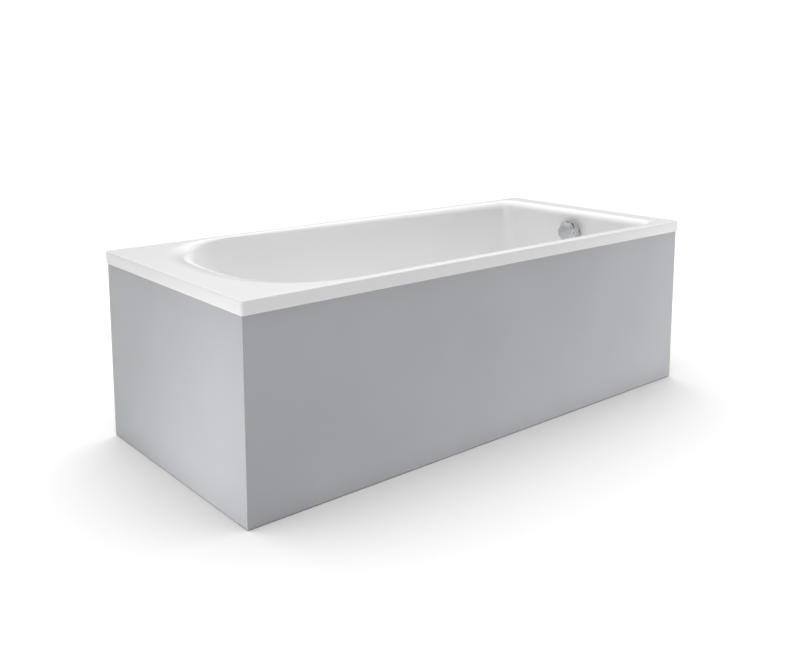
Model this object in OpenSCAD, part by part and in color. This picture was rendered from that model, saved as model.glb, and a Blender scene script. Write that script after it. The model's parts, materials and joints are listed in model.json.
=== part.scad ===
// Built-in bathtub with panels on three sides, levelling feet and a knob-operated drain.
// X runs from the rounded head end to the foot end, -Y is the front, and Z is up from the floor.

/* [Tub] */
// Overall length of the tub
tub_l = 1700; // [1600:10:1900]
// Overall width of the tub
tub_w = 750; // [700:5:850]
// Height of the rim above the floor
tub_h = 550; // [548:1:600]
// Thickness of the moulded shell
skin = 5; // [4:0.5:6]
// Height of the turned-down lip around the rim
lip_h = 36; // [28:1:50]
// Corner radius of the lip in plan
lip_corner_r = 8; // [7:1:20]
// Radius of the lip's rounded upper edge
lip_edge_r = 5; // [2:0.5:6]

/* [Basin] */
// Width of the flat rim along each long side
side_flat = 20; // [18:1:40]
// Width of the flat rim at the head end
head_flat = 63; // [55:1:90]
// Width of the flat rim at the foot end
foot_flat = 65; // [55:1:90]
// Length of the rounded head end in plan
head_round_l = 337; // [280:1:420]
// Fullness of the rounded head end, where 2 is an ellipse
head_power = 2.6; // [2.2:0.1:3.2]
// Corner radius of the basin at the foot end
foot_corner_r = 66; // [50:1:90]
// Width of the soft edge between the rim and the backrest
head_edge = 115; // [70:1:125]
// Width of the soft edge along a side, next to the head end
side_edge_head = 8; // [6:1:16]
// Width of the soft edge along a side, next to the foot end
side_edge_foot = 30; // [24:1:34]
// Width of the soft edge at the foot end
foot_edge = 28; // [24:1:34]
// Depth of the basin from the rim to its floor
basin_depth = 395; // [380:1:396]
// Fall of the basin floor towards the drain
floor_fall = 7; // [4:1:8]
// Inward slope of the backrest, from rim to floor
back_lean = 157; // [140:1:225]
// Inward slope of each side wall, from rim to floor
side_lean = 35; // [25:1:45]
// Inward slope of the foot wall, from rim to floor
foot_lean = 17; // [10:1:30]
// Corner radius of the basin floor at the foot end
floor_corner_r = 84; // [78:1:110]
// Distance from the rounded head end's start to the backrest's round foot
base_round_shift = 80; // [40:5:120]
// Width of the curve between the side walls and the floor
floor_edge = 78; // [68:1:84]
// Width of the curve between the backrest and the floor
back_edge = 112; // [90:1:140]

/* [Base board] */
// Thickness of the board under the tub floor
board_t = 18; // [15:1:20]
// Margin between the board and the curved edge of the floor
board_margin = 10; // [6:1:20]
// Distance from the board's foot end to the drain
board_to_drain = 72; // [62:1:90]

/* [Legs] */
// Width of a leg rail
rail_w = 30; // [28:1:40]
// Height of a leg rail
rail_h = 25; // [24:1:26]
// Sheet thickness of the leg rails
rail_t = 2; // [1.5:0.5:3]
// Distance from the board's head end to the head rail
rail_head_in = 78; // [60:1:150]
// Distance from the board's foot end to the foot rail
rail_foot_in = 118; // [60:1:150]
// Length of a rail past its feet
rail_end = 16; // [13:1:22]
// Diameter of the threaded studs
stud_d = 12; // [10:1:12]
// Width across the flats of the nuts
nut_af = 18; // [17:0.5:19]
// Height of the weld nuts and lock nuts
nut_h = 9; // [8:0.5:9]
// Height of a stud's end above the underside of the tub floor
stud_rise = 7; // [4:1:9]
// Radius of a foot pad
pad_r = 20; // [16:1:24]
// Height of a foot pad
pad_h = 18; // [14:1:22]
// Thickness of the pad under the stud
pad_sole = 5; // [4:1:7]

/* [Panels] */
// Thickness of the panels
panel_t = 12; // [10:1:14]
// Distance of the panels' faces behind the lip's face
panel_inset = 6; // [4:1:8]
// Gap between the panels and the lip
panel_top_gap = 1; // [0.5:0.5:3]
// Gap between the panels and the floor
panel_floor_gap = 3; // [1:0.5:6]
// Gap between the end panels and the wall
wall_gap = 2; // [1:1:10]
// Gap in the mitred corners, along the front
mitre_gap = 0.5; // [0.3:0.1:1]
// Width and height of the floor battens
batten_w = 38; // [34:1:42]
// Thickness of the rim battens along the sides
side_batten_t = 14; // [12:1:14]
// Thickness of the rim battens at the ends
end_batten_t = 30; // [28:1:34]
// Radius of the cup magnets and strike plates
magnet_r = 11; // [9:1:12]
// Height of the cup magnets
magnet_h = 8; // [6:1:10]
// Thickness of the strike plates
strike_t = 1.5; // [1:0.5:2]
// Sheet thickness of brackets and angles
sheet_t = 2; // [1.5:0.5:2.5]
// Width of brackets and angles
bracket_w = 24; // [20:1:30]

/* [Drain] */
// Distance from the foot end of the rim to the drain
drain_from_foot = 262; // [255:1:280]
// Radius of the hole in the tub floor
drain_hole_r = 26; // [25:0.5:27]
// Radius of the drain flange
flange_r = 35; // [33:0.5:38]
// Inner radius of the drain's tubes
drain_bore_r = 20; // [19:0.5:20]
// Outer radius of the drain's tubes
drain_tube_r = 23; // [22.5:0.5:23]
// Outer radius of the drain body's chamber
chamber_r = 34; // [33:0.5:36]
// Radius of the plug cap
cap_r = 30; // [28:0.5:31]
// Radius of the plug stem
stem_r = 4; // [3:0.5:4]
// Radius of the lift cup
cup_r = 6.7; // [6:0.1:7]
// Length of each lever arm
lever_l = 20; // [18:0.5:21]
// Turn of the lever each way from level
lever_swing = 15; // [10:1:16]
// Radius of the lever's axle
axle_r = 4; // [3:0.5:4.5]
// Outer radius of the trap cup
trap_r = 48; // [44:1:56]
// Outer radius of the outlet pipe
outlet_r = 20; // [16:0.5:20]

/* [Overflow] */
// Distance from the rim down to the overflow
overflow_drop = 77; // [70:1:90]
// Radius of the overflow hole
overflow_hole_r = 25; // [24:0.5:27]
// Radius of the knob
knob_r = 41; // [38:0.5:42]
// Gap between the wall and the knob
knob_gap = 11; // [8:0.5:13]
// Height of the knob
knob_h = 30; // [24:0.5:32]
// Number of finger recesses around the knob
recess_count = 5; // [4:1:8]
// Angle of the first finger recess from straight up
recess_turn = -10; // [-36:1:36]
// Depth of each finger recess
recess_depth = 4; // [2:0.5:5]
// Radius of the knob spindle
spindle_r = 4; // [3:0.5:4.5]
// Outer radius of the hose ends and the spigots
spigot_r = 14; // [13.5:0.5:15]
// Bore radius of the hose and the spigots
hose_bore_r = 11; // [9:0.5:11.5]
// Height of the ribs on the hose
rib_h = 1.6; // [1:0.2:1.8]
// Number of ribs on the hose
rib_count = 56; // [30:1:70]
// Radius of the cable sleeve
cable_r = 2.5; // [2:0.1:2.6]

/* [Clearances] */
// Radial clearance of a screw in its hole
screw_clear = 0.15; // [0.1:0.05:0.3]
// Radial clearance of a turning or sliding shaft
run_clear = 0.3; // [0.1:0.05:0.3]
// Gap between pieces that meet without touching
soft_gap = 0.3; // [0.2:0.05:0.5]

/* [Hidden] */
$fn = 48;

// Heights
lip_z = tub_h - lip_h;
under_rim_z = tub_h - skin;
floor_z = tub_h - basin_depth;
drain_z = floor_z - floor_fall;
under_z = drain_z - skin;
board_z = under_z - board_t;
rail_z = board_z - rail_h;

// Points around one half of the basin's outlines, section by section
foot_n = 4;
corner_n = 6;
side_n = 7;
head_n = 14;
edge_n = 5;
wall_n = 3;
floor_n = 2;
lip_n = 3;

// Outline where the flat rim ends, and the basin floor's outline
out_tip_x = -tub_l / 2 + head_flat;
out_foot_x = tub_l / 2 - foot_flat;
out_w = tub_w / 2 - side_flat;
out_join_x = out_tip_x + head_round_l;
base_tip_x = out_tip_x + head_edge + back_lean;
base_foot_x = out_foot_x - foot_edge - foot_lean;
base_w = out_w - side_edge_foot - side_lean;
base_join_x = out_join_x + base_round_shift;
drain_x = tub_l / 2 - drain_from_foot;
dish_r = flange_r + 6;

// Base board and legs
board_x0 = base_tip_x + back_edge + board_margin;
board_x1 = drain_x - board_to_drain;
board_half_w = base_w - floor_edge - board_margin;
rail_xs = [board_x0 + rail_head_in, board_x1 - rail_foot_in];
rail_nut_z = board_z - rail_t - nut_h;
rail_screw_r = 2.4;
rail_screw_l = 14;
screw_head_h = 2.5;
rail_screw_ys = [-0.8, -0.3, 0.3, 0.8] * board_half_w;

// Panels and their fixings
panel_face_x = tub_l / 2 - panel_inset;
panel_face_y = tub_w / 2 - panel_inset;
panel_back_x = panel_face_x - panel_t;
panel_back_y = panel_face_y - panel_t;
panel_top_z = lip_z - panel_top_gap;
wall_y = tub_w / 2 - wall_gap;
magnet_gap = 0.3;
magnet_y = panel_back_y - strike_t - magnet_gap;
carrier_y = magnet_y - magnet_h;
batten_in_y = carrier_y - batten_w;
side_batten_y = tub_w / 2 - skin - side_batten_t;
end_batten_x = tub_l / 2 - skin - end_batten_t;
side_batten_head_in = 160;
side_batten_foot_in = 80;
side_batten_x0 = -tub_l / 2 + side_batten_head_in;
side_batten_x1 = tub_l / 2 - side_batten_foot_in;
end_batten_in = 125;
end_batten_l = tub_w - 2 * end_batten_in;
floor_batten_in = 100;
floor_batten_front_l = tub_l - 2 * floor_batten_in;
floor_batten_corner_gap = 6;
floor_batten_wall_gap = 30;
floor_batten_y0 = -carrier_y + batten_w + floor_batten_corner_gap;
floor_batten_y1 = wall_y - floor_batten_wall_gap;
catch_head_in = 200;
catch_foot_in = 250;
catch_xs = [-tub_l / 2 + catch_head_in, tub_l / 2 - catch_foot_in];
catch_low_z = batten_w / 2;
catch_high_z = panel_top_z - 26;
fixing_r = 1.8;
fixing_l = 9;
fixing_head_r = 3.6;
fixing_head_h = 2.2;
floor_hole_r = 3;
leg_l = 38;
angle_leg_l = 16;
angle_rise = 26;
front_angle_head_in = 260;
front_angle_foot_in = 200;
front_angle_xs = [-tub_l / 2 + front_angle_head_in, tub_l / 2 - front_angle_foot_in];
end_angle_front_in = 225;
end_angle_wall_in = 175;
end_angle_ys = [-tub_w / 2 + end_angle_front_in, tub_w / 2 - end_angle_wall_in];
panel_angle_in = 195;
panel_angle_ys = [-1, 1] * (tub_w / 2 - panel_angle_in);
anchor_spacing = 900;
anchor_xs = [-1, 1] * anchor_spacing / 2;
anchor_hole_r = 3.5;
anchor_hole_z = lip_z - 28;
anchor_drop = 46;
end_screw_front_in = 175;
end_screw_mid_y = 50;
end_screw_wall_in = 115;
end_screw_ys = [-tub_w / 2 + end_screw_front_in, end_screw_mid_y, tub_w / 2 - end_screw_wall_in];
end_screw_r = 2.2;
end_screw_bite = 8;

// Feet
pad_gap = 4;
foot_y = batten_in_y - pad_r - pad_gap;
stud_r = stud_d / 2;
foot_places = [[rail_xs[0], -foot_y], [rail_xs[0], foot_y], [rail_xs[1], -foot_y], [rail_xs[1], foot_y]];

// Drain, measured down from the flat seat around the hole
gasket_t = 1;
body_gasket_t = 2;
flange_t = 3;
sleeve_l = 20;
seat_r = 25;
seat_z = drain_z + gasket_t + 1.2;
seal_t = 3;
cap_z = seat_z + soft_gap + seal_t;
cap_rise = 5;
hub_r = 10;
hub_h = 12;
hub_z = drain_z - sleeve_l;
body_top_z = under_z - body_gasket_t;
chamber_z = drain_z - 53;
chamber_floor_t = 3;
chamber_wall = 4;
neck_z = drain_z - 20;
cup_l = 30;
cup_z = drain_z - 40;
cup_floor_t = 3;
tip_r = 3;
axle_x = drain_x - lever_l;
axle_z = cup_z - soft_gap - tip_r + lever_l * sin(lever_swing);
axle_in_y = 29;
arm_under = 2;
arm_over = 1;
gland_r = 8;
gland_y = 44;
gland_l = 20;
blind_l = 12;
blind_end_t = 3;
arm_y = 50;
arm_t = 6;
arm_w = 8;
arm_drop = lever_l * cos(lever_swing);
wire_r = 0.8;
wire_z = axle_z - arm_drop;
wire_x = axle_x - lever_l * sin(lever_swing) + arm_w / 2 + 0.7;
stop_x = axle_x + 30;
stop_r = 5;
stop_l = 22;
stop_seat = 12;
bridge_w = 8;
bridge_l = 30;
bridge_rise = 6;
spigot_z = drain_z - 33;
spigot_x = drain_x + chamber_r + 28;

// Trap, measured down from the drain body
trap_top_z = chamber_z - 17;
trap_h = 72;
trap_z = trap_top_z - trap_h;
trap_wall = 3;
trap_neck_r = 29;
trap_neck_h = 8;
tail_z = trap_z + 14;
washer_h = 2.5;
trap_nut_r = 33;
outlet_z = trap_top_z - trap_wall - outlet_r;
outlet_wall = 2.5;
outlet_stub_y = trap_r + 32;
outlet_end_y = tub_w / 2 - 5;
outlet_free_l = 60;
stand_y = 250;
stand_low_h = 40;
stand_z = min(0, outlet_z - stand_low_h);

// Overflow, measured along the foot wall's inward normal
foot_angle = atan(foot_lean / basin_depth);
overflow_z = tub_h - overflow_drop;
overflow_x = out_foot_x - foot_edge - foot_lean * overflow_drop / basin_depth;
face_gasket_t = 1;
face_flange_t = 3;
back_gasket_t = 3;
wall_out_x = out_foot_x - foot_edge + skin
    - foot_lean * (under_rim_z - overflow_z) / (under_rim_z - under_z);
wall_slack = 0.05;
wall_t = (wall_out_x - overflow_x) * cos(foot_angle) + wall_slack;
body_front = -wall_t - back_gasket_t;
body_back = body_front - 32;
body_r = 30;
body_flange_r = 35;
sleeve_r = 23;
sleeve_bore_r = 20;
sleeve_end = body_front - 6;
spigot_u = body_back + 14.6;
spigot_drop = 58;
hose_seam = 0.05;
drum_r = 14;
drum_h = 9;
drum_u = body_back - 5;
housing_r = 20;
housing_wall = 4;
housing_back = body_back - 16;
cover_t = 2;
spindle_top = knob_gap + knob_h - 5;
knob_skirt_r = knob_r - 9;
boss_r = 10;
recess_r = 30;
dome_rise = 6;
dome_r = (knob_r * knob_r + dome_rise * dome_rise) / (2 * dome_rise);
cable_start = -24;

// A point given in the overflow's own directions, as a place on the tub
function overflow_point(up, side, out) = [
    overflow_x - out * cos(foot_angle) + up * sin(foot_angle),
    side,
    overflow_z + out * sin(foot_angle) + up * cos(foot_angle)
];

// Routes of the hose and the cable: straight ends, smooth bends at the middle points
hose_top = overflow_point(-spigot_drop - hose_seam, 0, spigot_u);
hose_low_x = hose_top[0] - (hose_top[2] - spigot_z) * tan(foot_angle);
hose_route = [hose_top, [hose_low_x, 0, spigot_z], [spigot_x + hose_seam, 0, spigot_z]];
hose_end_l = 2 * spigot_r;
cable_route = [
    overflow_point(cable_start, -drum_r, drum_u - drum_h / 2),
    overflow_point(cable_start - 120, -drum_r, drum_u - drum_h / 2),
    [out_foot_x + 12, -40, 240],
    [out_foot_x + 8, -arm_y, wire_z],
    [stop_x + stop_seat, -arm_y, wire_z]
];
cable_sides = 8;
hose_sides = 8;

// Arithmetic on points and outlines
function unit(v) = v / norm(v);
function lerp(a, b, t) = a + (b - a) * t;
function smooth(t) = t * t * (3 - 2 * t);
function arc_blend(a, b, c, t) = (1 - t) * (1 - t) * a + 2 * t * (1 - t) * b + t * t * c;
function lift(p, z) = [p[0], p[1], z];

// One half of a basin outline, from the middle of the foot end round to the head end's tip
function half_outline(foot_x, join_x, tip_x, w, r, power) = concat(
    [for (i = [0:foot_n - 1]) [foot_x, (w - r) * i / foot_n]],
    [for (i = [0:corner_n - 1]) let (a = 90 * i / corner_n)
        [foot_x - r + r * cos(a), w - r + r * sin(a)]],
    [for (i = [0:side_n - 1]) [lerp(foot_x - r, join_x, i / side_n), w]],
    [for (i = [0:head_n]) let (a = 90 * i / head_n)
        [join_x + (tip_x - join_x) * pow(sin(a), 2 / power), w * pow(cos(a), 2 / power)]]
);

// One half of the rim's rectangle, with points that match the basin outline's
function half_rim(inset) = let (
    x = tub_l / 2 - inset,
    y = tub_w / 2 - inset,
    r = max(lip_corner_r - inset, 0.5),
    turn = head_n / 2 - 1
) concat(
    [for (i = [0:foot_n - 1]) [x, (y - r) * i / foot_n]],
    [for (i = [0:corner_n - 1]) let (a = 90 * i / corner_n) [x - r + r * cos(a), y - r + r * sin(a)]],
    [for (i = [0:side_n - 1]) [lerp(x - r, out_join_x, i / side_n), y]],
    [for (i = [0:turn - 1]) [lerp(out_join_x, r - x, i / turn), y]],
    [for (i = [0:2]) let (a = 90 + 45 * i) [r - x + r * cos(a), y - r + r * sin(a)]],
    [for (i = [1:turn]) [-x, lerp(y - r, 0, i / turn)]]
);

// The other half mirrored on, without the two points that lie on the middle line
function whole(half) = concat(half, [for (i = [len(half) - 2:-1:1]) [half[i][0], -half[i][1]]]);
function inward(loop) = [for (i = [0:len(loop) - 1]) let (
    n = len(loop),
    d = unit(loop[(i + 1) % n] - loop[(i + n - 1) % n])
) [-d[1], d[0]]];

// Width of the soft edge under the rim, and of the curve to the floor, around one half
function half_soft_edge() = concat(
    [for (i = [0:foot_n - 1]) foot_edge],
    [for (i = [0:corner_n - 1]) lerp(foot_edge, side_edge_foot, i / corner_n)],
    [for (i = [0:side_n - 1]) lerp(side_edge_foot, side_edge_head, i / side_n)],
    [for (i = [0:head_n]) lerp(side_edge_head, head_edge, smooth(i / head_n))]
);
function half_floor_edge() = concat(
    [for (i = [0:foot_n + corner_n + side_n - 1]) floor_edge],
    [for (i = [0:head_n]) lerp(floor_edge, back_edge, smooth(i / head_n))]
);
function whole_list(half) = concat(half, [for (i = [len(half) - 2:-1:1]) half[i]]);

out_loop = whole(half_outline(out_foot_x, out_join_x, out_tip_x, out_w, foot_corner_r, head_power));
base_loop = whole(half_outline(base_foot_x, base_join_x, base_tip_x, base_w, floor_corner_r, head_power));
out_in = inward(out_loop);
base_in = inward(base_loop);
soft_edges = whole_list(half_soft_edge());
floor_edges = whole_list(half_floor_edge());
loop_n = len(out_loop);

// Rings of the basin from the rim down to the floor, moved out by a wall thickness
function basin_rings(out, top_z, low_z) = let (
    rim = [for (i = [0:loop_n - 1]) lift(out_loop[i], top_z)],
    knee = [for (i = [0:loop_n - 1]) lift(out_loop[i] + out_in[i] * (soft_edges[i] - out), top_z)],
    heel = [for (i = [0:loop_n - 1]) lift(base_loop[i] - base_in[i] * out, low_z)],
    sole = [for (i = [0:loop_n - 1]) lift(base_loop[i] + base_in[i] * floor_edges[i], low_z)],
    high = [for (i = [0:loop_n - 1]) knee[i] + unit(heel[i] - knee[i]) * soft_edges[i]],
    low = [for (i = [0:loop_n - 1]) heel[i] + unit(knee[i] - heel[i]) * (floor_edges[i] + out)]
) concat(
    [for (j = [0:edge_n - 1]) [for (i = [0:loop_n - 1]) arc_blend(rim[i], knee[i], high[i], j / edge_n)]],
    [for (j = [0:wall_n - 1]) [for (i = [0:loop_n - 1]) lerp(high[i], low[i], j / wall_n)]],
    [for (j = [0:edge_n]) [for (i = [0:loop_n - 1]) arc_blend(low[i], heel[i], sole[i], j / edge_n)]]
);
function seat_ring(z) = [for (p = base_loop)
    lift([drain_x, 0] + unit(p - [drain_x, 0]) * dish_r, z)];
function floor_rings(sole) = [for (j = [1:floor_n]) [for (i = [0:loop_n - 1])
    lerp(sole[i], seat_ring(drain_z)[i], j / floor_n)]];
function rim_ring(inset, z) = [for (p = whole(half_rim(inset))) lift(p, z)];
function backwards(list) = [for (i = [len(list) - 1:-1:0]) list[i]];

// A closed solid through a stack of rings with equal counts of points
module loft(rings) {
    n = len(rings[0]);
    last = len(rings) - 1;
    sides = [for (j = [0:last - 1]) for (i = [0:n - 1]) let (k = (i + 1) % n) each [
        [j * n + i, (j + 1) * n + i, (j + 1) * n + k],
        [j * n + i, (j + 1) * n + k, j * n + k]
    ]];
    ends = [[for (i = [0:n - 1]) i], [for (i = [n - 1:-1:0]) last * n + i]];
    polyhedron(points = [for (ring = rings) each ring], faces = concat(sides, ends), convexity = 10);
}

// Rings that sweep a round section along a route
function bend(a, b, c, n) = [for (i = [1:n - 1]) arc_blend(a, b, c, i / n)];
function path_through(route, n) = let (last = len(route) - 1) concat(
    [route[0]],
    [for (i = [1:last - 1]) each concat(
        [i == 1 ? lerp(route[0], route[1], 0.5) : lerp(route[i - 1], route[i], 0.5)],
        bend(lerp(route[i - 1], route[i], 0.5), route[i], lerp(route[i], route[i + 1], 0.5), n)
    )],
    [lerp(route[last - 1], route[last], 0.5), route[last]]
);
function path_direction(path, i) = i == 0 ? unit(path[1] - path[0])
    : i == len(path) - 1 ? unit(path[i] - path[i - 1])
    : unit(unit(path[i + 1] - path[i]) + unit(path[i] - path[i - 1]));
function ring_about(p, d, r, sides) = let (
    u = unit(cross(d, [0.05, 1, 0])),
    v = cross(d, u)
) [for (k = [0:sides - 1]) let (a = 360 * k / sides) p + r * (u * cos(a) + v * sin(a))];

// Shapes that repeat
module tube(outer, inner, h) {
    difference() {
        cylinder(r = outer, h = h);
        translate([0, 0, -1]) cylinder(r = inner, h = h + 2);
    }
}

module pan_screw(r, l, head_r, head_h) {
    cylinder(r = r, h = l);
    translate([0, 0, -head_h]) cylinder(r = head_r, h = head_h);
}

module fixing_screw() {
    pan_screw(fixing_r, fixing_l, fixing_head_r, fixing_head_h);
}

module fixing_hole() {
    translate([0, 0, -1]) cylinder(r = fixing_r + screw_clear, h = fixing_l + 2);
}

// Two sheet legs at a right angle: one along +X, one along +Z
module angle_sheet(foot, rise, w, t) {
    translate([0, w / 2, 0]) rotate([90, 0, 0])
        linear_extrude(w) polygon([[0, 0], [foot, 0], [foot, t], [t, t], [t, rise], [0, rise]]);
}

module at_drain(z) {
    translate([drain_x, 0, z]) children();
}

module at_overflow() {
    translate([overflow_x, 0, overflow_z]) rotate([0, foot_angle - 90, 0]) children();
}

module hex_nut(h, bore) {
    difference() {
        cylinder(r = nut_af / sqrt(3), h = h, $fn = 6);
        translate([0, 0, -1]) cylinder(r = bore, h = h + 2);
    }
}

// Tub
module tub_shell() {
    inner = basin_rings(0, tub_h, floor_z);
    outer = basin_rings(skin, under_rim_z, under_z);
    lip = concat(
        [rim_ring(skin, under_rim_z), rim_ring(skin, lip_z), rim_ring(0, lip_z)],
        [for (i = [0:lip_n]) let (a = 90 * i / lip_n)
            rim_ring(lip_edge_r * (1 - cos(a)), tub_h - lip_edge_r * (1 - sin(a)))]
    );
    color("white") difference() {
        loft(concat(
            [seat_ring(under_z)], backwards(outer), lip, inner, floor_rings(inner[len(inner) - 1])
        ));
        at_drain(under_z - 5) cylinder(r = drain_hole_r, h = skin + 10);
        at_overflow() translate([0, 0, -skin - 5]) cylinder(r = overflow_hole_r, h = skin + 10);
    }
}

module base_board() {
    color("burlywood") difference() {
        translate([board_x0, -board_half_w, board_z])
            cube([board_x1 - board_x0, 2 * board_half_w, board_t]);
        at_rail_screws() translate([0, 0, -1])
            cylinder(r = rail_screw_r + screw_clear, h = rail_screw_l + 2);
    }
}

// Rim battens, bonded under the rim and flush with the lip's lower edge
module side_batten() {
    translate([side_batten_x0, side_batten_y, lip_z])
        cube([side_batten_x1 - side_batten_x0, side_batten_t, lip_h - skin]);
}

module end_batten() {
    translate([end_batten_x, -end_batten_l / 2, lip_z])
        cube([end_batten_t, end_batten_l, lip_h - skin]);
}

module rim_batten_front() {
    color("burlywood") difference() {
        mirror([0, 1, 0]) side_batten();
        at_bracket_screws() fixing_hole();
    }
}

module rim_batten_back() {
    color("burlywood") difference() {
        side_batten();
        at_anchor_screws() fixing_hole();
    }
}

module rim_batten_head() {
    color("burlywood") difference() {
        mirror([1, 0, 0]) end_batten();
        mirror([1, 0, 0]) at_angle_screws() fixing_hole();
    }
}

module rim_batten_foot() {
    color("burlywood") difference() {
        end_batten();
        at_angle_screws() fixing_hole();
    }
}

// Legs
module at_rail_screws() {
    for (x = rail_xs, y = rail_screw_ys) translate([x, y, board_z - rail_t]) children();
}

module leg_rail(x) {
    color("silver") difference() {
        translate([x, 0, rail_z]) rotate([90, 0, 0])
            linear_extrude(2 * (foot_y + rail_end), center = true) difference() {
                translate([-rail_w / 2, 0]) square([rail_w, rail_h]);
                translate([-rail_w / 2 + rail_t, -1]) square([rail_w - 2 * rail_t, rail_h - rail_t + 1]);
            }
        at_rail_screws() translate([0, 0, -1]) cylinder(r = rail_screw_r + screw_clear, h = 10);
        for (p = foot_places) translate([p[0], p[1], rail_z])
            cylinder(r = stud_r + run_clear, h = rail_h + 1);
    }
}

module leg_rail_head() {
    leg_rail(rail_xs[0]);
}

module leg_rail_foot() {
    leg_rail(rail_xs[1]);
}

module rail_nuts() {
    color("gainsboro") for (p = foot_places)
        translate([p[0], p[1], rail_nut_z]) hex_nut(nut_h, stud_r + run_clear);
}

module lock_nuts() {
    color("gainsboro") for (p = foot_places)
        translate([p[0], p[1], rail_nut_z - nut_h]) hex_nut(nut_h, stud_r + run_clear);
}

module rail_screws() {
    color("gainsboro") at_rail_screws()
        pan_screw(rail_screw_r, rail_screw_l, 2 * rail_screw_r, screw_head_h);
}

// Levelling feet: a stud with a hexagon collar, standing in a pad
module foot_stud(place) {
    color("silver") translate([place[0], place[1], 0]) {
        translate([0, 0, pad_sole]) cylinder(r = stud_r, h = under_z + stud_rise - pad_sole);
        translate([0, 0, pad_h]) cylinder(r = nut_af / sqrt(3), h = nut_h, $fn = 6);
    }
}

module foot_pad(place) {
    boss_wall = 5;
    color("dimgray") translate([place[0], place[1], 0]) rotate_extrude() polygon([
        [0, 0], [pad_r, 0], [pad_r, 4], [stud_r + boss_wall, 9], [stud_r + boss_wall, pad_h],
        [stud_r + screw_clear, pad_h], [stud_r + screw_clear, pad_sole], [0, pad_sole]
    ]);
}

module foot_stud_head_front() {
    foot_stud(foot_places[0]);
}

module foot_stud_head_back() {
    foot_stud(foot_places[1]);
}

module foot_stud_foot_front() {
    foot_stud(foot_places[2]);
}

module foot_stud_foot_back() {
    foot_stud(foot_places[3]);
}

module foot_pad_head_front() {
    foot_pad(foot_places[0]);
}

module foot_pad_head_back() {
    foot_pad(foot_places[1]);
}

module foot_pad_foot_front() {
    foot_pad(foot_places[2]);
}

module foot_pad_foot_back() {
    foot_pad(foot_places[3]);
}

// Panels, mitred at the two front corners
module panel_sheet(outline) {
    translate([0, 0, panel_floor_gap]) linear_extrude(panel_top_z - panel_floor_gap) polygon(outline);
}

module end_panel() {
    difference() {
        panel_sheet([
            [panel_face_x, mitre_gap - panel_face_y], [panel_face_x, wall_y],
            [panel_back_x, wall_y], [panel_back_x, mitre_gap - panel_back_y]
        ]);
        at_panel_screws() fixing_hole();
        at_end_screws() cylinder(r = end_screw_r + screw_clear, h = batten_w + end_screw_bite + 1);
    }
}

module panel_front() {
    color("lightslategray") panel_sheet([
        [-panel_face_x, -panel_face_y], [panel_face_x, -panel_face_y],
        [panel_back_x, -panel_back_y], [-panel_back_x, -panel_back_y]
    ]);
}

module panel_head() {
    color("lightgray") mirror([1, 0, 0]) end_panel();
}

module panel_foot() {
    color("lightgray") end_panel();
}

// Magnetic catches of the front panel
module at_catches(y) {
    for (x = catch_xs, z = [catch_low_z, catch_high_z])
        translate([x, -y, z]) rotate([-90, 0, 0]) children();
}

module strike_plates() {
    color("silver") at_catches(panel_back_y) cylinder(r = magnet_r, h = strike_t);
}

module cup_magnets() {
    color("darkgray") at_catches(magnet_y) cylinder(r = magnet_r, h = magnet_h);
}

module at_bracket_screws() {
    for (x = catch_xs, s = [-1, 1])
        translate([x + s * bracket_w / 4, sheet_t - side_batten_y, lip_z + 14])
            rotate([90, 0, 0]) children();
}

module magnet_brackets() {
    step_z = lip_z - 6;
    low_z = catch_high_z - magnet_r - 1;
    high_z = under_rim_z - 4;
    color("silver") difference() {
        for (x = catch_xs) translate([x - bracket_w / 2, 0, 0]) rotate([90, 0, 90])
            linear_extrude(bracket_w) polygon([
                [-side_batten_y, high_z], [sheet_t - side_batten_y, high_z],
                [sheet_t - side_batten_y, step_z], [sheet_t - carrier_y, step_z],
                [sheet_t - carrier_y, low_z], [-carrier_y, low_z],
                [-carrier_y, step_z - sheet_t], [-side_batten_y, step_z - sheet_t]
            ]);
        at_bracket_screws() fixing_hole();
    }
}

// Floor battens and the angles that hold them down
module at_end_screws() {
    for (y = end_screw_ys) translate([panel_back_x - batten_w, y, catch_low_z])
        rotate([0, 90, 0]) children();
}

module end_floor_batten() {
    difference() {
        translate([panel_back_x - batten_w, floor_batten_y0, 0])
            cube([batten_w, floor_batten_y1 - floor_batten_y0, batten_w]);
        at_end_screws() translate([0, 0, -1]) cylinder(r = end_screw_r + screw_clear, h = batten_w + 2);
        at_end_angles() at_angle_leg_screws() fixing_hole();
    }
}

module floor_batten_front() {
    color("burlywood") difference() {
        translate([-floor_batten_front_l / 2, -carrier_y, 0])
            cube([floor_batten_front_l, batten_w, batten_w]);
        at_front_angles() at_angle_leg_screws() fixing_hole();
    }
}

module floor_batten_head() {
    color("burlywood") mirror([1, 0, 0]) end_floor_batten();
}

module floor_batten_foot() {
    color("burlywood") end_floor_batten();
}

module at_front_angles() {
    for (x = front_angle_xs) translate([x, -batten_in_y, 0]) rotate([0, 0, 90]) children();
}

module at_end_angles() {
    for (y = end_angle_ys) translate([panel_back_x - batten_w, y, 0]) rotate([0, 0, 180]) children();
}

module at_angle_leg_screws() {
    for (s = [-1, 1]) translate([sheet_t, s * bracket_w / 4, batten_w / 2 + 6])
        rotate([0, -90, 0]) children();
}

module floor_angle() {
    difference() {
        angle_sheet(leg_l, leg_l - 4, bracket_w, sheet_t);
        at_angle_leg_screws() fixing_hole();
        translate([leg_l - 12, 0, -1]) cylinder(r = floor_hole_r, h = sheet_t + 2);
    }
}

module floor_angles() {
    color("silver") {
        at_front_angles() floor_angle();
        at_end_angles() floor_angle();
        mirror([1, 0, 0]) at_end_angles() floor_angle();
    }
}

// Angles between the end panels and the rim battens
module at_panel_angles() {
    for (y = panel_angle_ys) translate([panel_back_x, y, lip_z]) mirror([1, 0, 0])
        mirror([0, 0, 1]) children();
}

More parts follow.
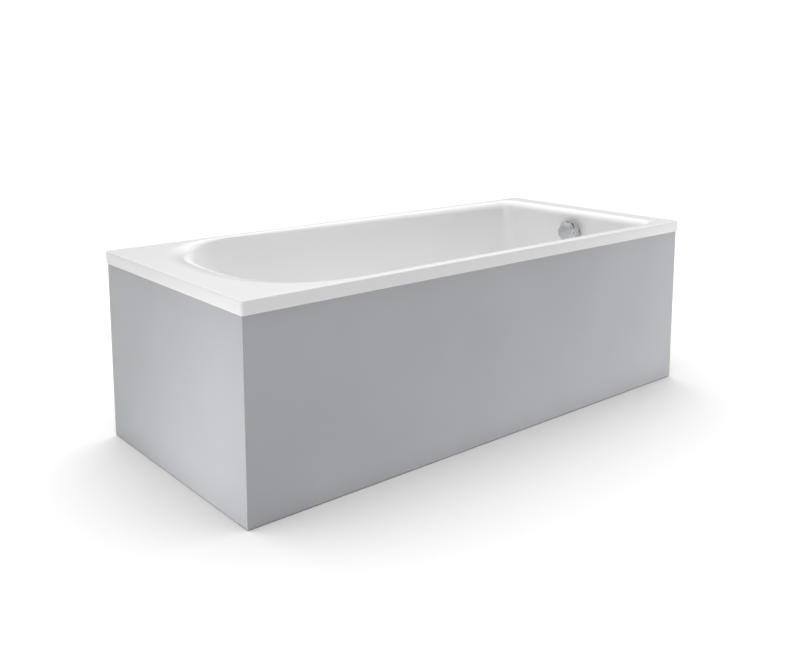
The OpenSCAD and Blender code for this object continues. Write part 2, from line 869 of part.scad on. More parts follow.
module at_angle_screws() {
    for (y = panel_angle_ys)
        translate([panel_back_x - angle_leg_l / 2 - 1, y, lip_z - sheet_t]) children();
}

module at_panel_screws() {
    for (y = panel_angle_ys) translate([panel_back_x - sheet_t, y, lip_z - angle_rise + 9])
        rotate([0, 90, 0]) children();
}

module end_panel_angles() {
    difference() {
        at_panel_angles() angle_sheet(angle_leg_l, angle_rise, bracket_w, sheet_t);
        at_angle_screws() fixing_hole();
        at_panel_screws() fixing_hole();
    }
}

module panel_angles() {
    color("silver") {
        end_panel_angles();
        mirror([1, 0, 0]) end_panel_angles();
    }
}

// Wall anchors under the back rim, their drilled legs flush with the rim's back face
module at_anchors() {
    for (x = anchor_xs) translate([x, tub_w / 2, lip_z]) rotate([0, 0, -90]) mirror([0, 0, 1]) children();
}

module at_anchor_screws() {
    for (x = anchor_xs) translate([x, side_batten_y + side_batten_t / 2, lip_z - sheet_t]) children();
}

module wall_anchors() {
    color("silver") difference() {
        at_anchors() angle_sheet(skin + side_batten_t + 4, anchor_drop, bracket_w + 6, sheet_t);
        at_anchor_screws() fixing_hole();
        for (x = anchor_xs) translate([x, tub_w / 2 + 1, anchor_hole_z]) rotate([90, 0, 0])
            cylinder(r = anchor_hole_r, h = sheet_t + 2);
    }
}

// Small screws of the brackets, angles and anchors
module fixing_screws() {
    color("gainsboro") {
        at_bracket_screws() fixing_screw();
        at_front_angles() at_angle_leg_screws() fixing_screw();
        at_anchor_screws() fixing_screw();
        for (side = [0, 1]) mirror([side, 0, 0]) {
            at_end_angles() at_angle_leg_screws() fixing_screw();
            at_angle_screws() fixing_screw();
            at_panel_screws() fixing_screw();
        }
    }
}

module batten_screws() {
    color("gainsboro") for (side = [0, 1]) mirror([side, 0, 0]) at_end_screws()
        pan_screw(end_screw_r, batten_w + end_screw_bite, 2 * end_screw_r, screw_head_h);
}

// Drain
module drain_flange() {
    color("silver") at_drain(0) {
        difference() {
            union() {
                translate([0, 0, drain_z + gasket_t]) cylinder(r = flange_r, h = flange_t);
                translate([0, 0, hub_z]) cylinder(r = drain_tube_r, h = sleeve_l + gasket_t + 1);
            }
            translate([0, 0, hub_z - 1]) cylinder(r = drain_bore_r, h = sleeve_l + 10);
            translate([0, 0, seat_z]) cylinder(r = seat_r, h = 10);
        }
        translate([0, 0, hub_z]) difference() {
            union() {
                cylinder(r = hub_r, h = hub_h);
                for (i = [0:2]) rotate([0, 0, 120 * i]) translate([0, -1.5, 0])
                    cube([drain_bore_r + 1, 3, 6]);
            }
            translate([0, 0, -1]) cylinder(r = cup_r + run_clear, h = hub_h + 2);
        }
    }
}

module flange_gasket() {
    color("dimgray") at_drain(drain_z) tube(flange_r - 1, drain_tube_r + soft_gap, gasket_t);
}

module body_gasket() {
    color("dimgray") at_drain(body_top_z) tube(flange_r, drain_tube_r + soft_gap, body_gasket_t);
}

module drain_body() {
    spigot_l = spigot_x - drain_x;
    top_flange_t = 4;
    cavity_z = chamber_z + chamber_floor_t;
    color("whitesmoke") difference() {
        union() {
            at_drain(chamber_z) cylinder(r = chamber_r, h = body_top_z - chamber_z);
            at_drain(body_top_z - top_flange_t) cylinder(r = flange_r + 2, h = top_flange_t);
            at_drain(tail_z) cylinder(r = drain_tube_r, h = chamber_z - tail_z + 1);
            at_drain(spigot_z) rotate([0, 90, 0]) cylinder(r = spigot_r, h = spigot_l);
            translate([axle_x, -gland_y, axle_z]) rotate([-90, 0, 0])
                cylinder(r = gland_r, h = gland_l);
            translate([axle_x, axle_in_y + blind_end_t - blind_l, axle_z]) rotate([-90, 0, 0])
                cylinder(r = gland_r, h = blind_l);
            translate([stop_x, -arm_y, wire_z]) rotate([0, 90, 0]) cylinder(r = stop_r, h = stop_l);
            translate([stop_x + 4, -arm_y, wire_z + 2])
                cube([bridge_w, bridge_l, chamber_z + bridge_rise - wire_z]);
        }
        at_drain(cavity_z) cylinder(r = chamber_r - chamber_wall, h = neck_z - cavity_z);
        at_drain(neck_z - 1) cylinder(r = drain_tube_r + screw_clear, h = body_top_z - neck_z + 2);
        at_drain(tail_z - 1) cylinder(r = drain_bore_r, h = cavity_z - tail_z + 2);
        at_drain(spigot_z) rotate([0, 90, 0]) cylinder(r = hose_bore_r, h = spigot_l + 1);
        translate([axle_x, -gland_y - 1, axle_z]) rotate([-90, 0, 0])
            cylinder(r = axle_r + run_clear, h = gland_y + 1 + axle_in_y + soft_gap);
        translate([stop_x - 1, -arm_y, wire_z]) rotate([0, 90, 0])
            cylinder(r = wire_r + run_clear, h = stop_l);
        translate([stop_x + stop_seat, -arm_y, wire_z]) rotate([0, 90, 0])
            cylinder(r = cable_r + screw_clear, h = stop_l);
    }
}

// Plug, lifted out by hand from the cup that carries it
module plug_cap() {
    dome = (cap_r * cap_r + cap_rise * cap_rise) / (2 * cap_rise);
    color("silver") at_drain(cap_z) rotate_extrude() polygon(concat(
        [[0, 0], [cap_r - 0.6, 0], [cap_r, 0.6], [cap_r, 1.2]],
        [for (i = [5:-1:0]) let (r = (cap_r - 0.4) * i / 5)
            [r, 1.2 + cap_rise - (dome - sqrt(dome * dome - r * r))]]
    ));
}

module plug_seal() {
    color("dimgray") at_drain(seat_z + soft_gap) tube(seat_r - 1, stem_r + soft_gap, seal_t);
}

module plug_stem() {
    stem_z = cup_z + cup_floor_t;
    color("silver") {
        at_drain(stem_z) cylinder(r = stem_r, h = cap_z - stem_z);
        at_drain(seat_z - 7) cylinder(r = stem_r + 2.5, h = 3, $fn = 6);
    }
}

module lift_cup() {
    color("whitesmoke") at_drain(cup_z) difference() {
        cylinder(r = cup_r, h = cup_l);
        translate([0, 0, cup_floor_t]) cylinder(r = stem_r + run_clear, h = cup_l);
    }
}

// Lever on its axle: the inner arm lifts the cup, the outer arm is pulled by the wire
module lift_lever() {
    tip_t = 8;
    color("silver") {
        translate([axle_x, -arm_y - arm_t / 2, axle_z]) rotate([-90, 0, 0])
            cylinder(r = axle_r, h = arm_y + arm_t / 2 + axle_in_y);
        translate([axle_x, 0, axle_z]) rotate([0, lever_swing, 0]) {
            translate([0, -tip_t / 2, -arm_under]) cube([lever_l, tip_t, arm_under + arm_over]);
            translate([lever_l, -tip_t / 2, 0]) rotate([-90, 0, 0]) cylinder(r = tip_r, h = tip_t);
        }
    }
}

module lever_arm() {
    color("dimgray") translate([axle_x, -arm_y - arm_t / 2, axle_z]) rotate([0, lever_swing, 0])
        difference() {
            union() {
                rotate([-90, 0, 0]) cylinder(r = axle_r + 3.5, h = arm_t);
                translate([-arm_w / 2, 0, -lever_l]) cube([arm_w, arm_t, lever_l]);
                translate([0, 0, -lever_l]) rotate([-90, 0, 0]) cylinder(r = arm_w / 2, h = arm_t);
            }
            translate([0, -1, 0]) rotate([-90, 0, 0])
                cylinder(r = axle_r + screw_clear / 2, h = arm_t + 2);
        }
}

module pull_wire() {
    color("silver") translate([wire_x, -arm_y, wire_z]) rotate([0, 90, 0])
        cylinder(r = wire_r, h = stop_x + 1 - wire_x);
}

// Trap under the drain, with its outlet towards the wall; the pipe's free end has a stop ring
module trap_cup() {
    inner_h = trap_top_z - trap_z - 2 * trap_wall;
    color("white") difference() {
        union() {
            at_drain(trap_z) cylinder(r = trap_r, h = trap_top_z - trap_z);
            at_drain(trap_top_z - 1) cylinder(r = trap_neck_r, h = trap_neck_h + 1);
            at_drain(outlet_z) rotate([-90, 0, 0]) cylinder(r = outlet_r, h = outlet_stub_y);
        }
        at_drain(trap_z + trap_wall) cylinder(r = trap_r - trap_wall, h = inner_h);
        at_drain(trap_top_z - trap_wall - 1) cylinder(r = drain_tube_r + run_clear, h = 30);
        at_drain(outlet_z) rotate([-90, 0, 0])
            cylinder(r = outlet_r - outlet_wall, h = outlet_stub_y + 1);
    }
}

module trap_washer() {
    color("dimgray") at_drain(trap_top_z + trap_neck_h)
        tube(trap_neck_r - 1, drain_tube_r + run_clear, washer_h);
}

module trap_nut() {
    low_z = trap_top_z + 2;
    high_z = trap_top_z + trap_neck_h + washer_h;
    web = 3;
    grips = 12;
    color("white") at_drain(0) difference() {
        translate([0, 0, low_z]) cylinder(r = trap_nut_r, h = high_z + web - low_z);
        translate([0, 0, low_z - 1]) cylinder(r = trap_neck_r + screw_clear, h = high_z - low_z + 1);
        translate([0, 0, high_z - 1]) cylinder(r = drain_tube_r + run_clear, h = 10);
        for (i = [0:grips - 1]) rotate([0, 0, 360 * i / grips])
            translate([trap_nut_r + 1.5, 0, low_z - 1]) cylinder(r = 3, h = 30);
    }
}

module outlet_nut() {
    nut_l = 20;
    grips = 10;
    color("white") translate([drain_x, outlet_stub_y - nut_l / 2, outlet_z]) rotate([-90, 0, 0])
        difference() {
            cylinder(r = outlet_r + 5, h = nut_l);
            translate([0, 0, -1]) cylinder(r = outlet_r + screw_clear, h = nut_l + 2);
            for (i = [0:grips - 1]) rotate([0, 0, 360 * i / grips])
                translate([outlet_r + 6.5, 0, -1]) cylinder(r = 2.6, h = nut_l + 2);
        }
}

module outlet_pipe() {
    pipe_l = outlet_end_y - outlet_stub_y;
    stop_t = 4;
    color("white") translate([drain_x, outlet_stub_y, outlet_z]) rotate([-90, 0, 0]) {
        tube(outlet_r, outlet_r - outlet_wall, pipe_l);
        translate([0, 0, pipe_l - outlet_free_l - stop_t])
            tube(outlet_r + 2, outlet_r - outlet_wall, stop_t);
    }
}

module pipe_stand() {
    ring_r = outlet_r + screw_clear;
    stand_t = 16;
    color("dimgray") difference() {
        union() {
            translate([drain_x, stand_y, outlet_z]) rotate([-90, 0, 0])
                cylinder(r = ring_r + 3, h = stand_t);
            translate([drain_x - 22, stand_y, stand_z]) cube([44, stand_t, 4]);
            translate([drain_x - 6, stand_y, stand_z]) cube([12, stand_t, outlet_z - stand_z]);
        }
        translate([drain_x, stand_y - 1, outlet_z]) rotate([-90, 0, 0])
            cylinder(r = ring_r, h = stand_t + 2);
    }
}

// Overflow, drawn along the foot wall's inward normal with up as +X
module overflow_flange() {
    color("silver") at_overflow() {
        difference() {
            union() {
                translate([0, 0, face_gasket_t]) cylinder(r = sleeve_r + 10, h = face_flange_t);
                translate([0, 0, sleeve_end]) cylinder(r = sleeve_r, h = face_gasket_t + 1 - sleeve_end);
            }
            translate([0, 0, sleeve_end - 1]) cylinder(r = sleeve_bore_r, h = 40);
        }
        translate([0, 0, sleeve_end]) difference() {
            union() {
                cylinder(r = 8, h = 12);
                for (i = [0:2]) rotate([0, 0, 120 * i]) translate([0, -1.5, 0])
                    cube([sleeve_bore_r + 1, 3, 6]);
            }
            translate([0, 0, -1]) cylinder(r = spindle_r + run_clear, h = 20);
        }
    }
}

module overflow_gaskets() {
    color("dimgray") at_overflow() {
        tube(sleeve_r + 9, sleeve_r + soft_gap, face_gasket_t);
        translate([0, 0, body_front]) tube(body_flange_r - 2, sleeve_r + soft_gap, back_gasket_t);
    }
}

module overflow_body() {
    color("whitesmoke") at_overflow() difference() {
        union() {
            translate([0, 0, body_back]) cylinder(r = body_r, h = body_front - body_back);
            translate([0, 0, body_front - 4]) cylinder(r = body_flange_r, h = 4);
            translate([0, 0, spigot_u]) rotate([0, -90, 0]) cylinder(r = spigot_r, h = spigot_drop);
            translate([0, 0, housing_back]) cylinder(r = housing_r, h = body_back - housing_back + 1);
            translate([-housing_r + 8, -drum_r, drum_u - drum_h / 2]) rotate([0, -90, 0])
                cylinder(r = cable_r + 2.3, h = 24);
        }
        translate([0, 0, body_back + 3]) cylinder(r = body_r - 4, h = sleeve_end - body_back - 3);
        translate([0, 0, sleeve_end - 1]) cylinder(r = sleeve_r + screw_clear, h = 20);
        translate([0, 0, spigot_u]) rotate([0, -90, 0]) cylinder(r = hose_bore_r, h = spigot_drop + 1);
        translate([0, 0, housing_back - 1])
            cylinder(r = housing_r - housing_wall, h = body_back - housing_back - 1);
        translate([0, 0, body_back - 5]) cylinder(r = spindle_r + run_clear, h = 20);
        translate([0, -drum_r, drum_u - drum_h / 2]) rotate([0, -90, 0]) cylinder(r = 1.2, h = 40);
        translate([cable_start, -drum_r, drum_u - drum_h / 2]) rotate([0, -90, 0])
            cylinder(r = cable_r + screw_clear, h = 40);
    }
}

module housing_cover() {
    color("whitesmoke") at_overflow() translate([0, 0, housing_back - cover_t])
        cylinder(r = housing_r, h = cover_t);
}

// Knob with a domed face and finger recesses around its edge
module knob() {
    top = knob_gap + knob_h;
    shoulder = top - dome_rise - 2;
    roof = top - 8;
    face = [for (i = [0:8]) let (r = (knob_r - 3) * i / 8)
        [r, top - (dome_r - sqrt(dome_r * dome_r - r * r))]];
    edge_from = face[8];
    corner = [knob_r, edge_from[1] - 0.6];
    edge = [for (i = [1:4]) arc_blend(edge_from, corner, [knob_r, shoulder - 2], i / 4)];
    color("silver") at_overflow() difference() {
        rotate_extrude() polygon(concat(
            face, edge,
            [[knob_r, knob_gap + 0.8], [knob_r - 0.8, knob_gap],
             [knob_skirt_r, knob_gap], [knob_skirt_r - 2, roof],
             [boss_r, roof + 1], [boss_r, knob_gap + 1],
             [spindle_r + screw_clear / 2, knob_gap + 1],
             [spindle_r + screw_clear / 2, spindle_top], [0, spindle_top]]
        ));
        for (i = [0:recess_count - 1]) rotate([0, 0, recess_turn + 360 * i / recess_count])
            translate([knob_r + recess_r - recess_depth, 0, 0]) cylinder(r = recess_r, h = top + 1);
    }
}

module knob_spindle() {
    color("gray") at_overflow() translate([0, 0, drum_u - drum_h])
        cylinder(r = spindle_r, h = spindle_top - drum_u + drum_h);
}

module cable_drum() {
    groove = 1.5;
    bore = spindle_r + screw_clear / 2;
    color("dimgray") at_overflow() translate([0, 0, drum_u - drum_h]) rotate_extrude() polygon([
        [bore, 0], [drum_r, 0], [drum_r, 3], [drum_r - groove, 3.8], [drum_r - groove, drum_h - 3.8],
        [drum_r, drum_h - 3], [drum_r, drum_h], [bore, drum_h]
    ]);
}

// Ribbed hose from the overflow to the drain body
hose_path = path_through(hose_route, 14);
hose_steps = [for (i = [1:len(hose_path) - 1]) norm(hose_path[i] - hose_path[i - 1])];

function run_to(i) = i == 0 ? 0 : run_to(i - 1) + hose_steps[i - 1];
hose_runs = [for (i = [0:len(hose_path) - 1]) run_to(i)];
hose_l = hose_runs[len(hose_path) - 1];

function hose_span(run, i) = i >= len(hose_path) - 2 || hose_runs[i + 1] >= run
    ? i : hose_span(run, i + 1);
function hose_at(run) = let (i = hose_span(run, 0))
    lerp(hose_path[i], hose_path[i + 1], (run - hose_runs[i]) / hose_steps[i]);
function hose_way(run) = unit(hose_at(min(run + 3, hose_l)) - hose_at(max(run - 3, 0)));

module overflow_hose() {
    rib_pitch = (hose_l - 2 * hose_end_l) / rib_count;
    ends = [[0, spigot_r], [hose_end_l, spigot_r]];
    ribs = [for (i = [0:rib_count - 1]) each [
        [hose_end_l + rib_pitch * (i + 0.3), spigot_r + rib_h],
        [hose_end_l + rib_pitch * (i + 0.8), spigot_r - 0.4]
    ]];
    outside = concat(ends, ribs, [[hose_l - hose_end_l, spigot_r], [hose_l, spigot_r]]);
    bore_n = 24;
    color("whitesmoke") difference() {
        loft([for (s = outside) ring_about(hose_at(s[0]), hose_way(s[0]), s[1], hose_sides)]);
        loft([for (i = [0:bore_n]) let (run = lerp(-1, hose_l + 1, i / bore_n))
            ring_about(hose_at(run), hose_way(max(min(run, hose_l), 0)), hose_bore_r, hose_sides)]);
    }
}

module hose_nut() {
    nut_l = 24;
    grips = 10;
    translate([0, 0, -nut_l / 2]) difference() {
        cylinder(r = spigot_r + 4.5, h = nut_l);
        translate([0, 0, -1]) cylinder(r = spigot_r + screw_clear, h = nut_l + 2);
        for (i = [0:grips - 1]) rotate([0, 0, 360 * i / grips])
            translate([spigot_r + 6, 0, -1]) cylinder(r = 2.5, h = nut_l + 2);
    }
}

module hose_nuts() {
    color("white") {
        at_overflow() translate([-spigot_drop, 0, spigot_u]) rotate([0, 90, 0]) hose_nut();
        translate([spigot_x, 0, spigot_z]) rotate([0, 90, 0]) hose_nut();
    }
}

module cable_sleeve() {
    path = path_through(cable_route, 7);
    color("black") loft([for (i = [0:len(path) - 1])
        ring_about(path[i], path_direction(path, i), cable_r, cable_sides)]);
}

tub_shell();
base_board();
rim_batten_front();
rim_batten_back();
rim_batten_head();
rim_batten_foot();
leg_rail_head();
leg_rail_foot();
rail_nuts();
lock_nuts();
rail_screws();
foot_stud_head_front();
foot_stud_head_back();
foot_stud_foot_front();
foot_stud_foot_back();
foot_pad_head_front();
foot_pad_head_back();
foot_pad_foot_front();
foot_pad_foot_back();
panel_front();
panel_head();
panel_foot();
strike_plates();
cup_magnets();
magnet_brackets();
floor_batten_front();
floor_batten_head();
floor_batten_foot();
floor_angles();
panel_angles();
wall_anchors();
fixing_screws();
batten_screws();
drain_flange();
flange_gasket();
body_gasket();
drain_body();
plug_cap();
plug_seal();
plug_stem();
lift_cup();
lift_lever();
lever_arm();
pull_wire();
trap_cup();
trap_washer();
trap_nut();
outlet_nut();
outlet_pipe();
pipe_stand();
overflow_flange();
overflow_gaskets();
overflow_body();
housing_cover();
knob();
knob_spindle();
cable_drum();
overflow_hose();
hose_nuts();
cable_sleeve();
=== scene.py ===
"""Dresses a built-in bathtub for its portrait.

The white tub, the knob, the hose, the cable and every threaded part get new meshes. The panels,
battens, rails and plumbing keep their solids, with softened edges and a finish each.
"""

from __future__ import annotations

import json
import logging
import math
from dataclasses import dataclass, field
from enum import Enum
from typing import Any, Callable, Sequence

import bmesh
import bpy
import numpy as np
from mathutils import Matrix, Vector

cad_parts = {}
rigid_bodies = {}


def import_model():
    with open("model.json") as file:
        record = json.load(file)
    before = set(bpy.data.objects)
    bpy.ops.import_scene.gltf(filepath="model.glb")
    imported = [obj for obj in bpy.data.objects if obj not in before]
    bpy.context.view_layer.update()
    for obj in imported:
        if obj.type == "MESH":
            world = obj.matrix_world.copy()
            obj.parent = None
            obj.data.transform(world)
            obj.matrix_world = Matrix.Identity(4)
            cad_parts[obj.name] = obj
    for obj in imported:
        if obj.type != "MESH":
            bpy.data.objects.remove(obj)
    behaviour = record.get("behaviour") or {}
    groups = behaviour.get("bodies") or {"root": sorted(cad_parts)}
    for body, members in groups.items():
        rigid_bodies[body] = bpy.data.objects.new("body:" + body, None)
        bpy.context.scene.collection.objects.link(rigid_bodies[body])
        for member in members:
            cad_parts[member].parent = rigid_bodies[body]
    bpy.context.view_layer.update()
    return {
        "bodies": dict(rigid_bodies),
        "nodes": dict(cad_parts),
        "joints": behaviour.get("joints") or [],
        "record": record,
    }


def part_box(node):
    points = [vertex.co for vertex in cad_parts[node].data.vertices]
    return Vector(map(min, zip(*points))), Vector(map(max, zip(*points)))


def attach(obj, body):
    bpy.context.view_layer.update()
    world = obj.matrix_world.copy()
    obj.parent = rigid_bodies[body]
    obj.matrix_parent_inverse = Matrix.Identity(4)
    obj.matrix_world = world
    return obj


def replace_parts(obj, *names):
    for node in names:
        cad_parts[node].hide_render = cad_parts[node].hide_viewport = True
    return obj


LOG = logging.getLogger("bathtub")
MM = 0.001
# An edge sharper than this stays sharp in the shading, and is rounded on a CAD solid
SHARP_DEG = 32.0
# How close two points of a CAD solid are to be joined, and how flat two facets
WELD_MM = 0.004
FLAT_DEG = 0.4
# Nearly all of a noise texture lies between these two values
NOISE_SPAN = {"From Min": 0.3, "From Max": 0.7}
# The section of a pan head, as shares of its radius and its height
PAN_HEAD = ((0.25, 0), (0.55, 0.02), (0.8, 0.1), (0.93, 0.28), (0.99, 0.55), (1, 0.8), (1, 1))
# The rings of a nut, as shares of its height: close together where its corners are turned off
NUT_STEPS = (0.0, 0.03, 0.08, 0.16, 0.84, 0.92, 0.97, 1.0)
# The cone that turns off a nut's corners: its radius at the nut's face, as a share of the width
# across the flats, and its angle
NUT_FACE = 0.475
NUT_CONE_DEG = 60.0
# The depth of a metric thread, as a share of its pitch
THREAD_DEPTH = 0.6

Rings = Sequence[np.ndarray]
Node = bpy.types.Node
Object = bpy.types.Object
Socket = bpy.types.NodeSocket
Tree = bpy.types.NodeTree


class Axis(Enum):
    """The direction in which a piece of timber grew or a sheet was rolled."""

    X = 0
    Y = 1
    Z = 2

    def scales(self, along: float, across: float) -> tuple[float, ...]:
        """Returns a pattern's scale in all three directions."""
        return tuple(along if axis is self else across for axis in Axis)


# Nodes and colours


def linear(colour: str) -> tuple[float, float, float, float]:
    """Turns an sRGB hex colour into linear light.

    Args:
        colour: six hex digits after a hash sign.

    Returns:
        Red, green, blue and alpha, as a shader socket takes them.
    """
    parts = [int(colour[i : i + 2], 16) / 255 for i in (1, 3, 5)]
    light = [p / 12.92 if p <= 0.04045 else ((p + 0.055) / 1.055) ** 2.4 for p in parts]
    return (light[0], light[1], light[2], 1.0)


def repeats(size_mm: float) -> float:
    """Returns how many times a pattern of a real size repeats in a metre."""
    return 1 / (size_mm * MM)


def add_node(
    tree: Tree,
    kind: str,
    settings: dict[str | int, Any] | None = None,
    links: dict[str | int, Node | Socket] | None = None,
    into: Socket | None = None,
) -> Node:
    """Adds one node with its settings and links.

    Args:
        tree: the node tree to add to.
        kind: the node's type, such as ShaderNodeTexNoise.
        settings: values by property name or by input. "stops" fills a colour ramp from
            pairs of place and hex colour.
        links: what feeds the node, by input: a socket, or a node for its first output.
        into: the socket that the node's first output feeds, if any.

    Returns:
        The new node.
    """
    node = tree.nodes.new(kind)
    for name, value in (settings or {}).items():
        if name == "stops":
            ramp = node.color_ramp
            while len(ramp.elements) < len(value):
                ramp.elements.new(1.0)
            for element, (place, colour) in zip(ramp.elements, value):
                element.position = place
                element.color = linear(colour)
        elif isinstance(name, str) and hasattr(node, name):
            setattr(node, name, value)
        else:
            node.inputs[name].default_value = value
    for name, source in (links or {}).items():
        socket = source.outputs[0] if isinstance(source, Node) else source
        tree.links.new(socket, node.inputs[name])
    if into is not None:
        tree.links.new(node.outputs[0], into)
    return node


# Finishes


@dataclass(frozen=True)
class Coat:
    """A material in the making.

    Its node tree, the link that gives a texture the object's own coordinates, and the inputs of
    its shader.
    """

    tree: Tree
    here: dict[str | int, Node | Socket]
    skin: bpy.types.NodeInputs


@dataclass(frozen=True)
class Finish:
    """What every finish has: a name, and a shader that reads the object's own coordinates."""

    name: str

    def material(self) -> bpy.types.Material:
        """Gives the finish as a material, which is made the first time.

        Returns:
            The material.
        """
        known = bpy.data.materials.get(self.name)
        if known:
            return known
        made = bpy.data.materials.new(self.name)
        made.use_nodes = True
        tree = made.node_tree
        tree.nodes.clear()
        place = add_node(tree, "ShaderNodeTexCoord").outputs["Object"]
        shader = add_node(tree, "ShaderNodeBsdfPrincipled")
        add_node(tree, "ShaderNodeOutputMaterial", links={"Surface": shader})
        self.dress(Coat(tree, {"Vector": place}, shader.inputs))
        return made

    def dress(self, coat: Coat) -> None:
        """Fills in the shader.

        Args:
            coat: the material in the making.
        """
        raise NotImplementedError


@dataclass(frozen=True)
class FormedAcrylic(Finish):
    """Sanitary acrylic sheet, vacuum formed over a mould."""

    # To the eye: even white with a clear but soft-edged gloss, and highlights that waver
    # slightly, because the warm sheet never copies its mould quite flat
    colour: str = "#e6e6e6"
    ior: float = 1.49
    gloss_low: float = 0.10
    gloss_high: float = 0.16
    haze_mm: float = 260.0
    wave_mm: float = 70.0
    wave_height_mm: float = 0.03

    def dress(self, coat: Coat) -> None:
        """Fills in the shader: even white, gloss that drifts a little, waves from forming.

        Args:
            coat: the material in the making.
        """
        coat.skin["Base Color"].default_value = linear(self.colour)
        coat.skin["IOR"].default_value = self.ior
        size = {"Scale": repeats(self.haze_mm), "Detail": 3.0}
        haze = add_node(coat.tree, "ShaderNodeTexNoise", size, coat.here)
        span = NOISE_SPAN | {"To Min": self.gloss_low, "To Max": self.gloss_high}
        add_node(coat.tree, "ShaderNodeMapRange", span, {"Value": haze}, coat.skin["Roughness"])
        size = {"Scale": repeats(self.wave_mm), "Detail": 1.0}
        wave = add_node(coat.tree, "ShaderNodeTexNoise", size, coat.here)
        relief = {"Strength": 0.6, "Distance": self.wave_height_mm * MM}
        add_node(coat.tree, "ShaderNodeBump", relief, {"Height": wave}, coat.skin["Normal"])


@dataclass(frozen=True)
class SprayedGlassFibre(Finish):
    """Polyester resin with chopped glass strands, sprayed on and rolled flat by hand."""

    # To the eye: a straw-coloured, uneven skin with pale strands that cross each other.
    # Real strands are 50 mm long and 1 mm wide; drawn 2.6 mm wide so that they show
    strand_mm: float = 50.0
    strand_width_mm: float = 2.6
    relief_mm: float = 0.4
    strand_turns: tuple[float, ...] = (0.2, 0.75, 1.45, 2.1, 2.75)
    rough: float = 0.45
    ior: float = 1.55

    def dress(self, coat: Coat) -> None:
        """Fills in the shader: crossing pale strands in a yellowish resin.

        Args:
            coat: the material in the making.
        """
        coat.skin["Roughness"].default_value = self.rough
        coat.skin["IOR"].default_value = self.ior
        stretch = {"Scale": Axis.Z.scales(repeats(self.strand_width_mm), repeats(self.strand_mm))}
        strands: Node | None = None
        for turn in self.strand_turns:
            shift = {"Rotation": (0.0, turn, 0.0), "Location": (turn, turn, turn)}
            turned = add_node(coat.tree, "ShaderNodeMapping", shift, coat.here)
            drawn = add_node(coat.tree, "ShaderNodeMapping", stretch, {"Vector": turned})
            plain = {"Scale": 1.0, "Detail": 0.0}
            layer = add_node(coat.tree, "ShaderNodeTexNoise", plain, {"Vector": drawn})
            if strands:
                both = {0: strands, 1: layer}
                layer = add_node(coat.tree, "ShaderNodeMath", {"operation": "MAXIMUM"}, both)
            strands = layer
        tones = {"stops": [(0.56, "#c1baa0"), (0.68, "#cec8b3"), (0.77, "#e3dfd0")]}
        add_node(coat.tree, "ShaderNodeValToRGB", tones, {"Fac": strands}, coat.skin["Base Color"])
        relief = {"Strength": 0.8, "Distance": self.relief_mm * MM}
        add_node(coat.tree, "ShaderNodeBump", relief, {"Height": strands}, coat.skin["Normal"])


@dataclass(frozen=True)
class PressedFoil(Finish):
    """Matt grey foil, hot-pressed on fibreboard."""

    # To the eye: a calm, even grey that reflects nothing sharp, and a fine embossed tooth.
    # The real tooth is about 0.3 mm, drawn at 1.5 mm so that it shows
    light: str = "#b3b4b8"
    dark: str = "#afb0b4"
    drift_mm: float = 300.0
    tooth_mm: float = 1.5
    relief_mm: float = 0.06
    rough_low: float = 0.42
    rough_high: float = 0.5

    def dress(self, coat: Coat) -> None:
        """Fills in the shader: slow drift in the grey, the tooth in the bump and the sheen.

        Args:
            coat: the material in the making.
        """
        size = {"Scale": repeats(self.drift_mm), "Detail": 2.0}
        drift = add_node(coat.tree, "ShaderNodeTexNoise", size, coat.here)
        tones = {"stops": [(0.35, self.dark), (0.65, self.light)]}
        add_node(coat.tree, "ShaderNodeValToRGB", tones, {"Fac": drift}, coat.skin["Base Color"])
        size = {"Scale": repeats(self.tooth_mm), "Detail": 2.0}
        tooth = add_node(coat.tree, "ShaderNodeTexNoise", size, coat.here)
        span = NOISE_SPAN | {"To Min": self.rough_low, "To Max": self.rough_high}
        add_node(coat.tree, "ShaderNodeMapRange", span, {"Value": tooth}, coat.skin["Roughness"])
        relief = {"Strength": 0.35, "Distance": self.relief_mm * MM}
        add_node(coat.tree, "ShaderNodeBump", relief, {"Height": tooth}, coat.skin["Normal"])


@dataclass(frozen=True)
class PolishedChrome(Finish):
    """Chrome, plated on polished brass."""

    # To the eye: a cool mirror, clouded here and there by dried water
    colour: str = "#cfd0d2"
    haze_mm: float = 18.0
    haze_low: float = 0.35
    haze_high: float = 0.75
    rough_low: float = 0.04
    rough_high: float = 0.12

    def dress(self, coat: Coat) -> None:
        """Fills in the shader: a mirror whose haze drifts.

        Args:
            coat: the material in the making.
        """
        coat.skin["Base Color"].default_value = linear(self.colour)
        coat.skin["Metallic"].default_value = 1.0
        size = {"Scale": repeats(self.haze_mm), "Detail": 4.0}
        haze = add_node(coat.tree, "ShaderNodeTexNoise", size, coat.here)
        span = {"From Min": self.haze_low, "From Max": self.haze_high}
        span |= {"To Min": self.rough_low, "To Max": self.rough_high}
        add_node(coat.tree, "ShaderNodeMapRange", span, {"Value": haze}, coat.skin["Roughness"])


